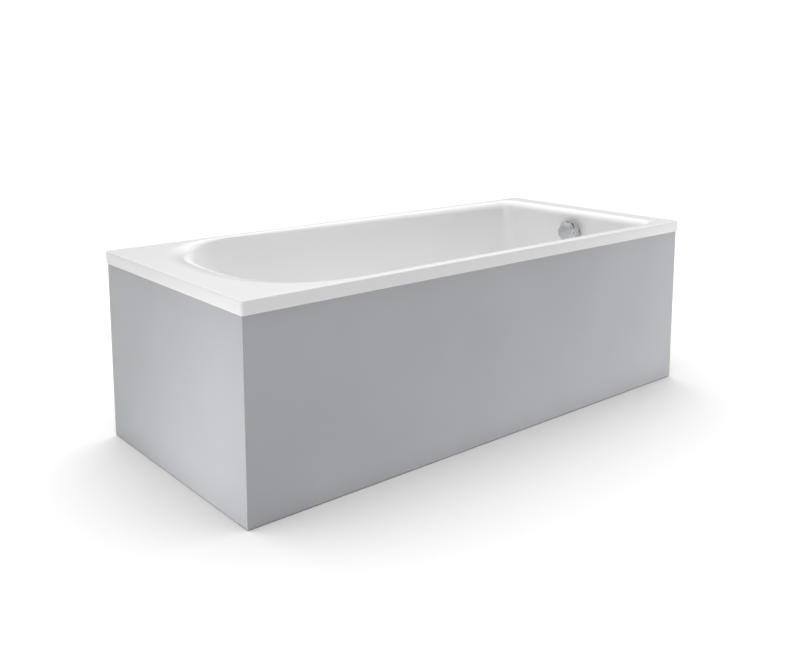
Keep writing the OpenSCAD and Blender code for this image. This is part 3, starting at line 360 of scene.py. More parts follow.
@dataclass(frozen=True)
class GalvanisedSheet(Finish):
    """Rolled steel sheet, hot-dip galvanised and then bent."""

    # To the eye: dull grey metal in a mosaic of lighter and darker crystals about 7 mm
    # across, with faint lines along the way it was rolled
    crystal_mm: float = 7.0
    rolled: Axis = Axis.Y
    line_mm: float = 0.8
    line_runs_per_m: float = 6.0
    relief_mm: float = 0.03
    rough_low: float = 0.34
    rough_high: float = 0.5

    def dress(self, coat: Coat) -> None:
        """Fills in the shader: crystals that differ in tone, and faint rolling lines.

        Args:
            coat: the material in the making.
        """
        tree, skin = coat.tree, coat.skin
        skin["Metallic"].default_value = 1.0
        size = {"Scale": repeats(self.crystal_mm)}
        crystals = add_node(tree, "ShaderNodeTexVoronoi", size, coat.here).outputs["Color"]
        tones = {"stops": [(0.0, "#a4a8ac"), (0.5, "#b6babd"), (1.0, "#c8cbce")]}
        add_node(tree, "ShaderNodeValToRGB", tones, {"Fac": crystals}, skin["Base Color"])
        span = {"To Min": self.rough_low, "To Max": self.rough_high}
        add_node(tree, "ShaderNodeMapRange", span, {"Value": crystals}, skin["Roughness"])
        stretch = {"Scale": self.rolled.scales(self.line_runs_per_m, repeats(self.line_mm))}
        laid = add_node(tree, "ShaderNodeMapping", stretch, coat.here)
        plain = {"Scale": 1.0, "Detail": 2.0}
        lines = add_node(tree, "ShaderNodeTexNoise", plain, {"Vector": laid})
        relief = {"Strength": 0.3, "Distance": self.relief_mm * MM}
        add_node(tree, "ShaderNodeBump", relief, {"Height": lines}, skin["Normal"])


@dataclass(frozen=True)
class BrightZinc(Finish):
    """Steel, turned, drawn or pressed, with a bright plating or a plain bright skin."""

    # To the eye: bright metal whose gloss comes and goes in soft clouds, left by the bath
    colour: str = "#c3c8cf"
    cloud_mm: float = 5.0
    rough_low: float = 0.22
    rough_high: float = 0.36

    def dress(self, coat: Coat) -> None:
        """Fills in the shader: bright metal with soft clouds in its gloss.

        Args:
            coat: the material in the making.
        """
        coat.skin["Base Color"].default_value = linear(self.colour)
        coat.skin["Metallic"].default_value = 1.0
        size = {"Scale": repeats(self.cloud_mm), "Detail": 3.0}
        clouds = add_node(coat.tree, "ShaderNodeTexNoise", size, coat.here)
        span = NOISE_SPAN | {"To Min": self.rough_low, "To Max": self.rough_high}
        add_node(coat.tree, "ShaderNodeMapRange", span, {"Value": clouds}, coat.skin["Roughness"])


@dataclass(frozen=True)
class PlanedSpruce(Finish):
    """Spruce, sawn and planed."""

    # To the eye: pale straw wood with a darker line of late wood every 4 mm or so, and
    # a dry surface of fine fibres. The real fibres are under 0.1 mm, drawn at 0.7 mm to show
    along: Axis = Axis.X
    ring_mm: float = 4.0
    ring_run: float = 0.04
    wander_mm: float = 12.0
    wander_apart_mm: float = 45.45
    fibre_mm: float = 0.7
    fibre_runs_per_m: float = 12.0
    relief_mm: float = 0.15
    rough: float = 0.62

    def dress(self, coat: Coat) -> None:
        """Fills in the shader: rings that wander along the piece, over stretched fibres.

        Args:
            coat: the material in the making.
        """
        tree, skin = coat.tree, coat.skin
        skin["Roughness"].default_value = self.rough
        stretch = {"Scale": self.along.scales(self.ring_run, 1.0)}
        laid = add_node(tree, "ShaderNodeMapping", stretch, coat.here)
        slow = {"Scale": repeats(self.wander_apart_mm), "Detail": 2.0}
        wander = add_node(tree, "ShaderNodeTexNoise", slow, {"Vector": laid}).outputs["Color"]
        bend = {"operation": "MULTIPLY_ADD", 1: (self.wander_mm * MM,) * 3}
        bent = add_node(tree, "ShaderNodeVectorMath", bend, {0: wander, 2: laid})
        grown = {"wave_type": "RINGS", "rings_direction": self.along.name, "wave_profile": "SAW"}
        # A wave texture of scale 1 repeats every tau / 20 of a metre
        size = {"Scale": math.tau / 20 * repeats(self.ring_mm), "Distortion": 0.6, "Detail": 2.0}
        rings = add_node(tree, "ShaderNodeTexWave", grown | size, {"Vector": bent}).outputs["Fac"]
        tones = [(0.0, "#e3c595"), (0.7, "#d9b680"), (0.93, "#b98c56"), (1.0, "#dfc08e")]
        add_node(tree, "ShaderNodeValToRGB", {"stops": tones}, {"Fac": rings}, skin["Base Color"])
        stretch = {"Scale": self.along.scales(self.fibre_runs_per_m, repeats(self.fibre_mm))}
        drawn = add_node(tree, "ShaderNodeMapping", stretch, coat.here)
        plain = {"Scale": 1.0, "Detail": 3.0}
        fibres = add_node(tree, "ShaderNodeTexNoise", plain, {"Vector": drawn})
        relief = {"Strength": 0.5, "Distance": self.relief_mm * MM}
        add_node(tree, "ShaderNodeBump", relief, {"Height": fibres}, skin["Normal"])


@dataclass(frozen=True)
class PressedChipboard(Finish):
    """Chipboard, pressed from wood flakes in resin."""

    # To the eye: a flecked brown face, each flake about 5 mm with a tone of its own, and
    # thinner flecks at the edges, because the flakes lie flat
    flake_mm: float = 5.0
    flatness: float = 2.5
    relief_mm: float = 0.2
    rough: float = 0.7

    def dress(self, coat: Coat) -> None:
        """Fills in the shader: flakes of many browns with small ridges between them.

        Args:
            coat: the material in the making.
        """
        tree, skin = coat.tree, coat.skin
        skin["Roughness"].default_value = self.rough
        stretch = {"Scale": Axis.Z.scales(self.flatness, 1.0)}
        laid = add_node(tree, "ShaderNodeMapping", stretch, coat.here)
        size = {"Scale": repeats(self.flake_mm)}
        flakes = add_node(tree, "ShaderNodeTexVoronoi", size, {"Vector": laid})
        tones = [(0.0, "#8f6a42"), (0.35, "#bd9665"), (0.7, "#d3b184"), (1.0, "#e0c49b")]
        fleck = {"Fac": flakes.outputs["Color"]}
        add_node(tree, "ShaderNodeValToRGB", {"stops": tones}, fleck, skin["Base Color"])
        relief = {"Strength": 0.5, "Distance": self.relief_mm * MM}
        height = {"Height": flakes.outputs["Distance"]}
        add_node(tree, "ShaderNodeBump", relief, height, skin["Normal"])


@dataclass(frozen=True)
class MouldedPlastic(Finish):
    """Plastic or rubber, moulded or extruded, with the fine texture of its tool."""

    # To the eye: one plain colour under a low, even sheen, broken up by a fine texture.
    # The real texture is about 0.1 mm, drawn at 0.6 to 2.5 mm so that it shows
    colour: str = "#e9eaea"
    rough: float = 0.36
    texture_mm: float = 0.8
    relief_mm: float = 0.03
    ior: float = 1.49
    rough_less: float = 0.04
    rough_more: float = 0.06

    def dress(self, coat: Coat) -> None:
        """Fills in the shader: one colour, with the mould's texture in bump and gloss.

        Args:
            coat: the material in the making.
        """
        coat.skin["Base Color"].default_value = linear(self.colour)
        coat.skin["IOR"].default_value = self.ior
        size = {"Scale": repeats(self.texture_mm), "Detail": 2.0}
        texture = add_node(coat.tree, "ShaderNodeTexNoise", size, coat.here)
        low, high = self.rough - self.rough_less, self.rough + self.rough_more
        span = NOISE_SPAN | {"To Min": low, "To Max": high}
        add_node(coat.tree, "ShaderNodeMapRange", span, {"Value": texture}, coat.skin["Roughness"])
        relief = {"Strength": 0.4, "Distance": self.relief_mm * MM}
        add_node(coat.tree, "ShaderNodeBump", relief, {"Height": texture}, coat.skin["Normal"])


ACRYLIC = FormedAcrylic("sanitary_acrylic_vacuum_formed")
GLASS_FIBRE = SprayedGlassFibre("glass_fibre_resin_sprayed")
PANEL_FOIL = PressedFoil("grey_foil_pressed_on_fibreboard")
CHROME = PolishedChrome("chrome_on_polished_brass")
GALVANISED = GalvanisedSheet("galvanised_steel_rolled")
ZINC = BrightZinc("zinc_plated_steel_turned")
NICKEL = BrightZinc("nickel_plated_steel_pressed", "#cfc9bd", 8.0, 0.16, 0.26)
STAINLESS = BrightZinc("stainless_steel_drawn", "#c6c7c9", 3.0, 0.18, 0.28)
SPRUCE = {a: PlanedSpruce(f"spruce_planed_along_{a.name.lower()}", a) for a in Axis}
CHIPBOARD = PressedChipboard("chipboard_pressed")
WHITE_PLASTIC = MouldedPlastic("white_polypropylene_moulded", "#eceded")
GREY_PLASTIC = MouldedPlastic("grey_polypropylene_moulded", "#c9cccd", 0.4)
DARK_NYLON = MouldedPlastic("black_nylon_moulded", "#2a2b2d", 0.42, 1.0, 0.04, 1.53)
RUBBER = MouldedPlastic("black_rubber_moulded", "#1f2021", 0.66, 0.6, 0.05, 1.52)
SLEEVE_PVC = MouldedPlastic("black_pvc_extruded", "#18191a", 0.3, 2.5, 0.02, 1.53)
HOSE_PLASTIC = MouldedPlastic("white_polyethylene_blow_moulded", "#dfe1e1", 0.42, 1.5, 0.05)


# Meshes


def add_piece(
    name: str, body: str, vertices: np.ndarray, faces: Sequence[Sequence[int]], *finishes: Finish
) -> Object:
    """Makes a closed mesh with smooth shading, and lets it ride on a body.

    Args:
        name: the piece's name.
        body: the body that carries it.
        vertices: rows of three coordinates, in millimetres.
        faces: vertex numbers for each face.
        finishes: the finishes for the mesh's material slots.

    Returns:
        The new object.
    """
    mesh = bpy.data.meshes.new(name)
    mesh.from_pydata((np.asarray(vertices, float) * MM).tolist(), [], [list(f) for f in faces])
    form = bmesh.new()
    form.from_mesh(mesh)
    bmesh.ops.recalc_face_normals(form, faces=form.faces)
    form.to_mesh(mesh)
    form.free()
    piece = bpy.data.objects.new(name, mesh)
    bpy.context.scene.collection.objects.link(piece)
    for finish in finishes:
        mesh.materials.append(finish.material())
    smooth(mesh)
    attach(piece, body)
    LOG.info("%s: %d faces on body %s", name, len(mesh.polygons), body)
    return piece


def smooth(mesh: bpy.types.Mesh) -> None:
    """Shades a mesh smooth, apart from its sharp edges."""
    mesh.shade_smooth()
    mesh.set_sharp_from_angle(angle=math.radians(SHARP_DEG))


def skin_rings(rings: Rings, closed: bool = False, first: int = 0) -> list[tuple[int, ...]]:
    """Joins a stack of rings with quads, and caps its ends unless the stack closes on itself.

    Args:
        rings: rings with equal counts of points.
        closed: True where the last ring joins the first.
        first: the number of the first point.

    Returns:
        The faces.
    """
    n, count = len(rings[0]), len(rings)
    faces: list[tuple[int, ...]] = []
    for j in range(count if closed else count - 1):
        a, b = first + j * n, first + (j + 1) % count * n
        faces += [(a + i, a + (i + 1) % n, b + (i + 1) % n, b + i) for i in range(n)]
    if not closed:
        faces.append(tuple(range(first + n - 1, first - 1, -1)))
        faces.append(tuple(range(first + (count - 1) * n, first + count * n)))
    return faces


def shares(count: int) -> np.ndarray:
    """Returns equal steps from 0 to just short of 1."""
    return np.arange(count) / count


def circle(radius: float, count: int) -> np.ndarray:
    """Returns points on a circle about the origin, in the XY plane."""
    turn = math.tau * shares(count)
    return np.column_stack([radius * np.cos(turn), radius * np.sin(turn)])


def at_height(loop: np.ndarray, z: float | np.ndarray) -> np.ndarray:
    """Lifts a loop of plan points to a height."""
    return np.column_stack([loop, np.broadcast_to(z, len(loop))])


def unit(rows: np.ndarray) -> np.ndarray:
    """Returns rows with length one."""
    return rows / np.linalg.norm(rows, axis=-1, keepdims=True)


def between(a: Any, b: Any, t: Any) -> Any:
    """Returns the place at share t of the way from a to b."""
    return a + (b - a) * t


def arc_blend(a: Any, b: Any, c: Any, t: float) -> Any:
    """Returns a point of the soft curve from a to c that leaves along b."""
    return (1 - t) ** 2 * a + 2 * t * (1 - t) * b + t**2 * c


def smooth_step(t: float | np.ndarray) -> float | np.ndarray:
    """Returns t eased at both ends."""
    return t * t * (3 - 2 * t)


def placed(points: np.ndarray, place: Matrix) -> np.ndarray:
    """Moves points in millimetres by a placement whose shift is in millimetres."""
    return points @ np.array(place.to_3x3()).T + np.array(place.translation)


def cut(piece: Object, tool: Object) -> None:
    """Cuts the tool's volume from a piece, applies the cut and deletes the tool.

    Args:
        piece: the piece to cut, which gets a new mesh.
        tool: a closed form.
    """
    change = piece.modifiers.new("cut", "BOOLEAN")
    change.object = tool
    change.solver = "EXACT"
    bpy.context.view_layer.update()
    graph = bpy.context.evaluated_depsgraph_get()
    result = bpy.data.meshes.new_from_object(piece.evaluated_get(graph))
    piece.modifiers.remove(change)
    old, piece.data = piece.data, result
    result.name = piece.name
    bpy.data.meshes.remove(old)
    bpy.data.objects.remove(tool)
    smooth(result)


def soften(
    frame: dict[str, Any], finish: Finish, edge_mm: float, segments: int, *nodes: str
) -> None:
    """Gives CAD nodes their finish and rounds their edges with modifiers.

    Args:
        finish: the nodes' finish.
        edge_mm: the width of the rounded edges.
        segments: the number of steps across an edge.
        nodes: the names of the nodes.
    """
    for node in nodes:
        piece = frame["nodes"][node]
        mesh = piece.data
        mesh.materials.clear()
        mesh.materials.append(finish.material())
        if "custom_normal" in mesh.attributes:
            mesh.attributes.remove(mesh.attributes["custom_normal"])
        mesh.shade_smooth()
        weld = piece.modifiers.new("weld", "WELD")
        weld.merge_threshold = WELD_MM * MM
        flat = piece.modifiers.new("flat", "DECIMATE")
        flat.decimate_type = "DISSOLVE"
        flat.angle_limit = math.radians(FLAT_DEG)
        edge = piece.modifiers.new("edge", "BEVEL")
        edge.width = edge_mm * MM
        edge.segments = segments
        edge.limit_method = "ANGLE"
        edge.angle_limit = math.radians(SHARP_DEG)
        edge.harden_normals = True
        LOG.info("%s: finish %s", node, finish.name)


# Tub


@dataclass
class Tub:
    """The white moulding: a flat rim, a turned-down lip, and a basin with a round head end.

    All sizes are in millimetres. The form is that of the CAD model, apart from how the lip's
    edges are rounded.
    """

    length: float = 1700.0
    width: float = 750.0
    height: float = 550.0
    skin: float = 5.0
    # The lip: the radius of its lower edge, the bevel inside that edge, the fillet under the
    # rim, and how far behind the lip the rings begin
    lip_h: float = 36.0
    lip_low_r: float = 2.2
    lip_bevel: float = 0.5
    lip_fillet: float = 0.6
    lip_return: float = 6.0
    # The rim: the corners in plan, the rounding of its outer edge, and its flat parts
    corner_r: float = 8.0
    least_r: float = 0.5
    edge_r: float = 4.5
    edge_run: float = 1.0
    side_flat: float = 20.0
    head_flat: float = 63.0
    foot_flat: float = 65.0
    # The basin: its outline, the soft edge under the rim, the walls' lean and the floor's curve
    head_round: float = 337.0
    head_power: float = 2.6
    foot_corner_r: float = 66.0
    head_edge: float = 115.0
    side_edge_head: float = 8.0
    side_edge_foot: float = 30.0
    foot_edge: float = 28.0
    depth: float = 395.0
    fall: float = 7.0
    back_lean: float = 157.0
    side_lean: float = 35.0
    foot_lean: float = 17.0
    floor_corner_r: float = 84.0
    base_shift: float = 80.0
    floor_edge: float = 78.0
    back_edge: float = 112.0
    drain_from_foot: float = 262.0
    drain_hole_r: float = 26.0
    drain_hole_edge: float = 1.5
    drain_hole_drop: float = 0.6
    dish_r: float = 41.0
    overflow_drop: float = 77.0
    overflow_hole_r: float = 25.0
    overflow_cut: tuple[float, float] = (-12.0, 6.0)
    # Points along each run of half an outline, and rings down each part of the wall
    foot_n: int = 14
    corner_n: int = 18
    side_n: int = 28
    head_n: int = 56
    far_corner_n: int = 8
    edge_n: int = 18
    wall_n: int = 9
    floor_n: int = 9
    hole_n: int = 64

    @property
    def drain_x(self) -> float:
        """The drain's place along the tub."""
        return self.length / 2 - self.drain_from_foot

    @property
    def drain_z(self) -> float:
        """The height of the flat seat around the drain."""
        return self.height - self.depth - self.fall

    @property
    def foot_slope(self) -> float:
        """How far the foot end's wall leans in for each millimetre down."""
        return self.foot_lean / self.depth

    @property
    def overflow_place(self) -> Matrix:
        """The overflow's own directions.

        Returns:
            The turn and shift that bring up, side and out, from the overflow's middle on
            the wall, to the tub's own millimetres.
        """
        lean = math.atan(self.foot_slope)
        up, out = math.cos(lean), math.sin(lean)
        x = self.length / 2 - self.foot_flat - self.foot_edge - self.foot_slope * self.overflow_drop
        z = self.height - self.overflow_drop
        return Matrix(((out, 0, -up, x), (0, 1, 0, 0), (up, 0, out, z), (0, 0, 0, 1)))

    def lead(self, x: float, y: float, r: float, join: float) -> list[tuple[float, float]]:
        """Works out the run that half a rim and half a basin outline share.

        Args:
            x: the place of the straight foot end.
            y: half the width.
            r: the radius of the corner at the foot end.
            join: where the straight side ends.

        Returns:
            Points along the foot end, its corner and the side.
        """
        foot = [(x, (y - r) * t) for t in shares(self.foot_n)]
        turns = math.pi / 2 * shares(self.corner_n)
        corner = [(x - r + r * math.cos(a), y - r + r * math.sin(a)) for a in turns]
        return foot + corner + [(between(x - r, join, t), y) for t in shares(self.side_n)]

    def half_outline(
        self, foot: float, join: float, tip: float, w: float, r: float
    ) -> np.ndarray:
        """Works out one half of a basin outline.

        Args:
            foot: the place of the straight foot end.
            join: where the straight side ends and the round head begins.
            tip: the place of the head's tip.
            w: half the width.
            r: the radius of the corner at the foot end.

        Returns:
            Points from the foot end's middle to the head's tip.
        """
        turns = np.linspace(0, math.pi / 2, self.head_n + 1)
        far, wide = np.maximum([np.sin(turns), np.cos(turns)], 0) ** (2 / self.head_power)
        head = np.column_stack([between(join, tip, far), w * wide])
        return np.vstack([self.lead(foot, w, r, join), head])

    def half_rim(self, inset: float) -> np.ndarray:
        """Works out one half of the rim's rectangle.

        Args:
            inset: how far it lies inside the rim's outer edge.

        Returns:
            As many points as a basin outline has, in the same order.
        """
        x, y = self.length / 2 - inset, self.width / 2 - inset
        r = max(self.corner_r - inset, self.least_r)
        join = -self.length / 2 + self.head_flat + self.head_round
        run = (self.head_n - self.far_corner_n) // 2
        side = [(between(join, r - x, t), y) for t in shares(run)]
        turns = np.radians(np.linspace(90, 180, self.far_corner_n + 1))
        corner = [(r - x + r * math.cos(a), y - r + r * math.sin(a)) for a in turns]
        end = [(-x, (y - r) * (1 - i / run)) for i in range(1, run + 1)]
        return np.array(self.lead(x, y, r, join) + side + corner + end)

    def soft_edges(self) -> np.ndarray:
        """Works out the soft edge under the rim.

        Returns:
            Its width at each point of one half.
        """
        foot = np.full(self.foot_n, self.foot_edge)
        corner = between(self.foot_edge, self.side_edge_foot, shares(self.corner_n))
        side = between(self.side_edge_foot, self.side_edge_head, shares(self.side_n))
        eased = smooth_step(np.linspace(0, 1, self.head_n + 1))
        head = between(self.side_edge_head, self.head_edge, eased)
        return np.concatenate([foot, corner, side, head])

    def floor_edges(self) -> np.ndarray:
        """Works out the curve between wall and floor.

        Returns:
            Its width at each point of one half.
        """
        straight = np.full(self.foot_n + self.corner_n + self.side_n, self.floor_edge)
        eased = smooth_step(np.linspace(0, 1, self.head_n + 1))
        return np.concatenate([straight, between(self.floor_edge, self.back_edge, eased)])

    @staticmethod
    def whole(half: np.ndarray) -> np.ndarray:
        """Makes a whole loop of one half.

        Args:
            half: points or values from the foot end's middle to the head's tip.

        Returns:
            The half and its mirror image, without the two places on the middle line.
        """
        back = half[-2:0:-1].copy()
        if half.ndim == 2:
            back[:, 1] *= -1
        return np.concatenate([half, back])

    @staticmethod
    def inward(loop: np.ndarray) -> np.ndarray:
        """Returns the inward directions at a loop's points."""
        d = unit(np.roll(loop, -1, axis=0) - np.roll(loop, 1, axis=0))
        return np.column_stack([-d[:, 1], d[:, 0]])

    def basin(self, out: float, top_z: float, low_z: float) -> list[np.ndarray]:
        """Builds the basin's rings from the rim to the flat of its floor.

        Args:
            out: how far the rings lie outside the inner face.
            top_z: the height of the rim.
            low_z: the height of the floor.

        Returns:
            The rings, from the top down.
        """
        tip = -self.length / 2 + self.head_flat
        foot = self.length / 2 - self.foot_flat
        w = self.width / 2 - self.side_flat
        join = tip + self.head_round
        rim_plan = self.whole(self.half_outline(foot, join, tip, w, self.foot_corner_r))
        base_plan = self.whole(
            self.half_outline(
                foot - self.foot_edge - self.foot_lean,
                join + self.base_shift,
                tip + self.head_edge + self.back_lean,
                w - self.side_edge_foot - self.side_lean,
                self.floor_corner_r,
            )
        )
        soft = self.whole(self.soft_edges())[:, None]
        curve = self.whole(self.floor_edges())[:, None]
        rim_in, base_in = self.inward(rim_plan), self.inward(base_plan)
        rim = at_height(rim_plan, top_z)
        knee = at_height(rim_plan + rim_in * (soft - out), top_z)
        heel = at_height(base_plan - base_in * out, low_z)
        sole = at_height(base_plan + base_in * curve, low_z)
        high = knee + unit(heel - knee) * soft
        low = heel + unit(knee - heel) * (curve + out)
        edge = [arc_blend(rim, knee, high, t) for t in shares(self.edge_n)]
        wall = [between(high, low, t) for t in shares(self.wall_n)]
        turn = [arc_blend(low, heel, sole, t) for t in np.linspace(0, 1, self.edge_n + 1)]
        return edge + wall + turn

    def drain_ring(self, radius: float, z: float, like: np.ndarray) -> np.ndarray:
        """Returns a ring around the drain, with its points in line with those of a ring."""
        middle = np.array([self.drain_x, 0.0])
        return at_height(middle + unit(like[:, :2] - middle) * radius, z)

    def floor(self, sole: np.ndarray, z: float, drop: float) -> list[np.ndarray]:
        """Works out the floor of the basin.

        Args:
            sole: the ring at the edge of the floor.
            z: the height of the seat around the drain.
            drop: how far the edge of the drain's hole lies below the seat.

        Returns:
            The rings from the edge in to the drain's hole.
        """
        seat = self.drain_ring(self.dish_r, z, sole)
        rings = []
        for j in range(1, self.floor_n + 1):
            ring = between(sole, seat, j / self.floor_n)
            ring[:, 2] = between(sole[:, 2], z, smooth_step(j / self.floor_n))
            rings.append(ring)
        rings.append(self.drain_ring(self.drain_hole_r + self.drain_hole_edge, z, sole))
        rings.append(self.drain_ring(self.drain_hole_r, z - drop, sole))
        return rings

    def lip(self) -> list[np.ndarray]:
        """Works out the turned-down lip and the rim's outer edge.

        Returns:
            The rings from behind the lip, round its lower edge and up to the flat of the rim.
        """
        skin, r, low_r = self.skin, self.edge_r, self.lip_low_r
        under, low, top = self.height - skin, self.height - self.lip_h, self.height
        marks = [(skin + self.lip_return, under), (skin + self.lip_fillet, under)]
        marks += [(skin, under - self.lip_fillet), (skin, low + self.lip_bevel)]
        marks += [(skin - self.lip_bevel, low), (low_r, low)]
        for a in np.radians((30, 60, 90)):
            marks.append((low_r * (1 - math.sin(a)), low + low_r * (1 - math.cos(a))))
        marks.append((0, top - r - self.edge_run))
        for a in np.radians(np.arange(0, 91, 10)):
            marks.append((r * (1 - math.cos(a)), top - r * (1 - math.sin(a))))
        marks.append((r + self.edge_run, top))
        return [at_height(self.whole(self.half_rim(inset)), z) for inset, z in marks]

    def build(self) -> Object:
        """Builds the moulding, with its two holes, in place of the CAD shell.

        Returns:
            The moulding.
        """
        inner = self.basin(0.0, self.height, self.height - self.depth)
        outer = self.basin(self.skin, self.height - self.skin, self.drain_z - self.skin)
        rim_plan = inner[0][:, :2]
        shoulder = at_height(rim_plan - self.inward(rim_plan), self.height)
        under = self.floor(outer[-1], self.drain_z - self.skin, 0.0)
        rings = under[::-1] + outer[::-1] + self.lip() + [shoulder] + inner
        rings += self.floor(inner[-1], self.drain_z, self.drain_hole_drop)
        faces = skin_rings(rings, closed=True)
        piece = add_piece("tub_moulding", "tub", np.vstack(rings), faces, ACRYLIC, GLASS_FIBRE)
        # The glass fibre ends with the four rings that lie behind the lip
        backs = (len(under) + len(outer) + 4) * len(rings[0])
        for face in piece.data.polygons:
            face.material_index = int(face.index < backs)
        hole = circle(self.overflow_hole_r, self.hole_n)
        rings = [placed(at_height(hole, z), self.overflow_place) for z in self.overflow_cut]
        tool = add_piece("overflow_cutter", "tub", np.vstack(rings), skin_rings(rings), ACRYLIC)
        cut(piece, tool)
        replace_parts(piece, "tub_shell")
        return piece


# Knob


@dataclass
class Knob:
    """The chrome knob: a domed face with finger recesses, hollow behind."""

    place: Matrix
    # The outside: its gap to the tub's wall, the domed face, the shoulder and the rear edge
    radius: float = 41.0
    gap: float = 11.0
    height: float = 30.0
    dome: float = 5.0
    shoulder: float = 6.0
    shoulder_squash: float = 0.9
    rear_edge: float = 1.0
    # The finger recesses around the edge
    recesses: int = 5
    recess_depth: float = 3.6
    recess_half_deg: float = 19.0
    recess_power: float = 1.6
    first_recess_deg: float = -10.0
    # The hollow: the walls around it, the hub with its bore, and how its corners are eased
    rim_wall: float = 8.0
    face_wall: float = 7.0
    hub_r: float = 10.0
    bore_r: float = 4.2
    bore_wall: float = 6.0
    ease: float = 1.0
    # Points across the face and around the knob
    face_n: int = 14
    steps: int = 180

    @property
    def top(self) -> float:
        """The height of the face's middle above the tub's wall."""
        return self.gap + self.height

    def profile(self) -> list[tuple[float, float]]:
        """Works out the knob's section.

        Returns:
            The outside and the hollow, as pairs of radius and height from the wall.
        """
        r, low, top, edge = self.radius, self.gap, self.top, self.rear_edge
        flat_r = r - self.shoulder
        marks = []
        for s in np.linspace(1 / self.face_n, 1, self.face_n):
            marks.append((flat_r * s, top - self.dome * (flat_r * s / r) ** 2))
        side = marks[-1][1]
        for a in np.radians(np.arange(12, 91, 13)):
            sag = self.shoulder * self.shoulder_squash * (1 - math.cos(a))
            marks.append((flat_r + self.shoulder * math.sin(a), side - sag))
        marks += [(r, low + 6 * edge), (r, low + edge), (r - 0.3 * edge, low + 0.3 * edge)]
        # The hollow's corners are eased more the deeper they lie, as a casting's are
        inner, ceiling, hub, e = r - self.rim_wall, top - self.face_wall, self.hub_r, self.ease
        marks += [(r - edge, low), (inner, low), (inner - e, low + e)]
        marks += [(inner - 3 * e, ceiling - 2 * e), (inner - 6 * e, ceiling - e / 2)]
        marks += [(hub + 2 * e, ceiling), (hub, ceiling - 2 * e), (hub, low + 2 * e)]
        marks += [(hub - e, low + e), (self.bore_r, low + e)]
        return marks + [(self.bore_r, top - self.bore_wall)]

    def scoop(self, turns: np.ndarray) -> np.ndarray:
        """Works out the finger recesses around the edge.

        Args:
            turns: angles in degrees from straight up.

        Returns:
            How far a recess reaches in at each angle, from 0 to 1.
        """
        pitch = 360 / self.recesses
        away = np.abs((turns - self.first_recess_deg + pitch / 2) % pitch - pitch / 2)
        t = np.clip(1 - away / self.recess_half_deg, 0, 1)
        return np.sin(t * np.pi / 2) ** self.recess_power

    def build(self) -> Object:
        """Builds the knob in place of the CAD knob.

        Returns:
            The knob.
        """
        ray = circle(1.0, self.steps)
        scoop = self.recess_depth * self.scoop(360 * shares(self.steps))
        rings = []
        for r, u in self.profile():
            # The recesses fade out towards half the radius
            reach = smooth_step(np.clip(2 * r / self.radius - 1, 0, 1))
            rings.append(at_height(ray * (r - scoop * reach)[:, None], u))
        ends = [[0.0, 0.0, self.top], [0.0, 0.0, self.top - self.bore_wall]]
        points = np.vstack(rings + [ends])
        faces = skin_rings(rings)[:-2]
        n, last = self.steps, (len(rings) - 1) * self.steps
        tip, pit = len(points) - 2, len(points) - 1
        faces += [(tip, (i + 1) % n, i) for i in range(n)]
        faces += [(pit, last + i, last + (i + 1) % n) for i in range(n)]
        piece = add_piece("overflow_knob", "knob", placed(points, self.place), faces, CHROME)
        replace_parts(piece, "knob")
        return piece


# Threaded parts


def hexagon(af: float, count: int) -> np.ndarray:
    """Returns the distance from the middle to a hexagon's edge, at equal turns."""
    turn = math.tau * shares(count)
    return af / 2 / np.cos((turn + np.pi / 6) % (np.pi / 3) - np.pi / 6)


def nut_rings(
    af: float, low: float, high: float, bore: float = 0.0, bevel: float = 0.8, count: int = 96
) -> list[np.ndarray]:
    """Returns the rings of a hexagon with turned corners, and of its bore.

    Args:
        af: the width across the flats.
        low: the height of the lower face.
        high: the height of the upper face.
        bore: the bore's radius, or 0 for none.
        bevel: the width of the bevel at the bore's ends.
        count: points around a ring.

    Returns:
        The rings, as columns of x, y and z.
    """
    ray, tall = circle(1.0, count), high - low
    face_r, flare = NUT_FACE * af, math.tan(math.radians(NUT_CONE_DEG))
    rings = []
    for t in NUT_STEPS:
        sides = np.minimum(hexagon(af, count), face_r + min(t, 1 - t) * tall * flare)
        rings.append(at_height(ray * sides[:, None], low + t * tall))
    if bore:
        wide = bore + bevel
        marks = ((wide, high), (bore, high - bevel), (bore, low + bevel), (wide, low))
        rings += [at_height(ray * r, z) for r, z in marks]
    return rings


def thread_rings(
    radius: float, low: float, high: float, pitch: float, count: int = 24
) -> list[np.ndarray]:
    """Returns the rings of a rod with a screw thread that runs out at both ends.

    Args:
        radius: the thread's outer radius.
        low: the height of the rod's lower end.
        high: the height of its upper end.
        pitch: the thread's pitch.
        count: points around a ring.

    Returns:
        The rings.
    """
    depth, ray = THREAD_DEPTH * pitch, circle(1.0, count)
    rings_per_turn = 4
    steps = int((high - low) / pitch * rings_per_turn)
    rings = []
    for j in range(steps + 1):
        z = between(low, high, j / steps)
        crest = np.abs(2 * ((z / pitch - shares(count)) % 1.0) - 1)
        run_out = min(1.0, (z - low) / pitch, (high - z) / pitch)
        radii = radius - depth * (1 - crest * run_out)
        rings.append(at_height(ray * radii[:, None], z))
    return rings


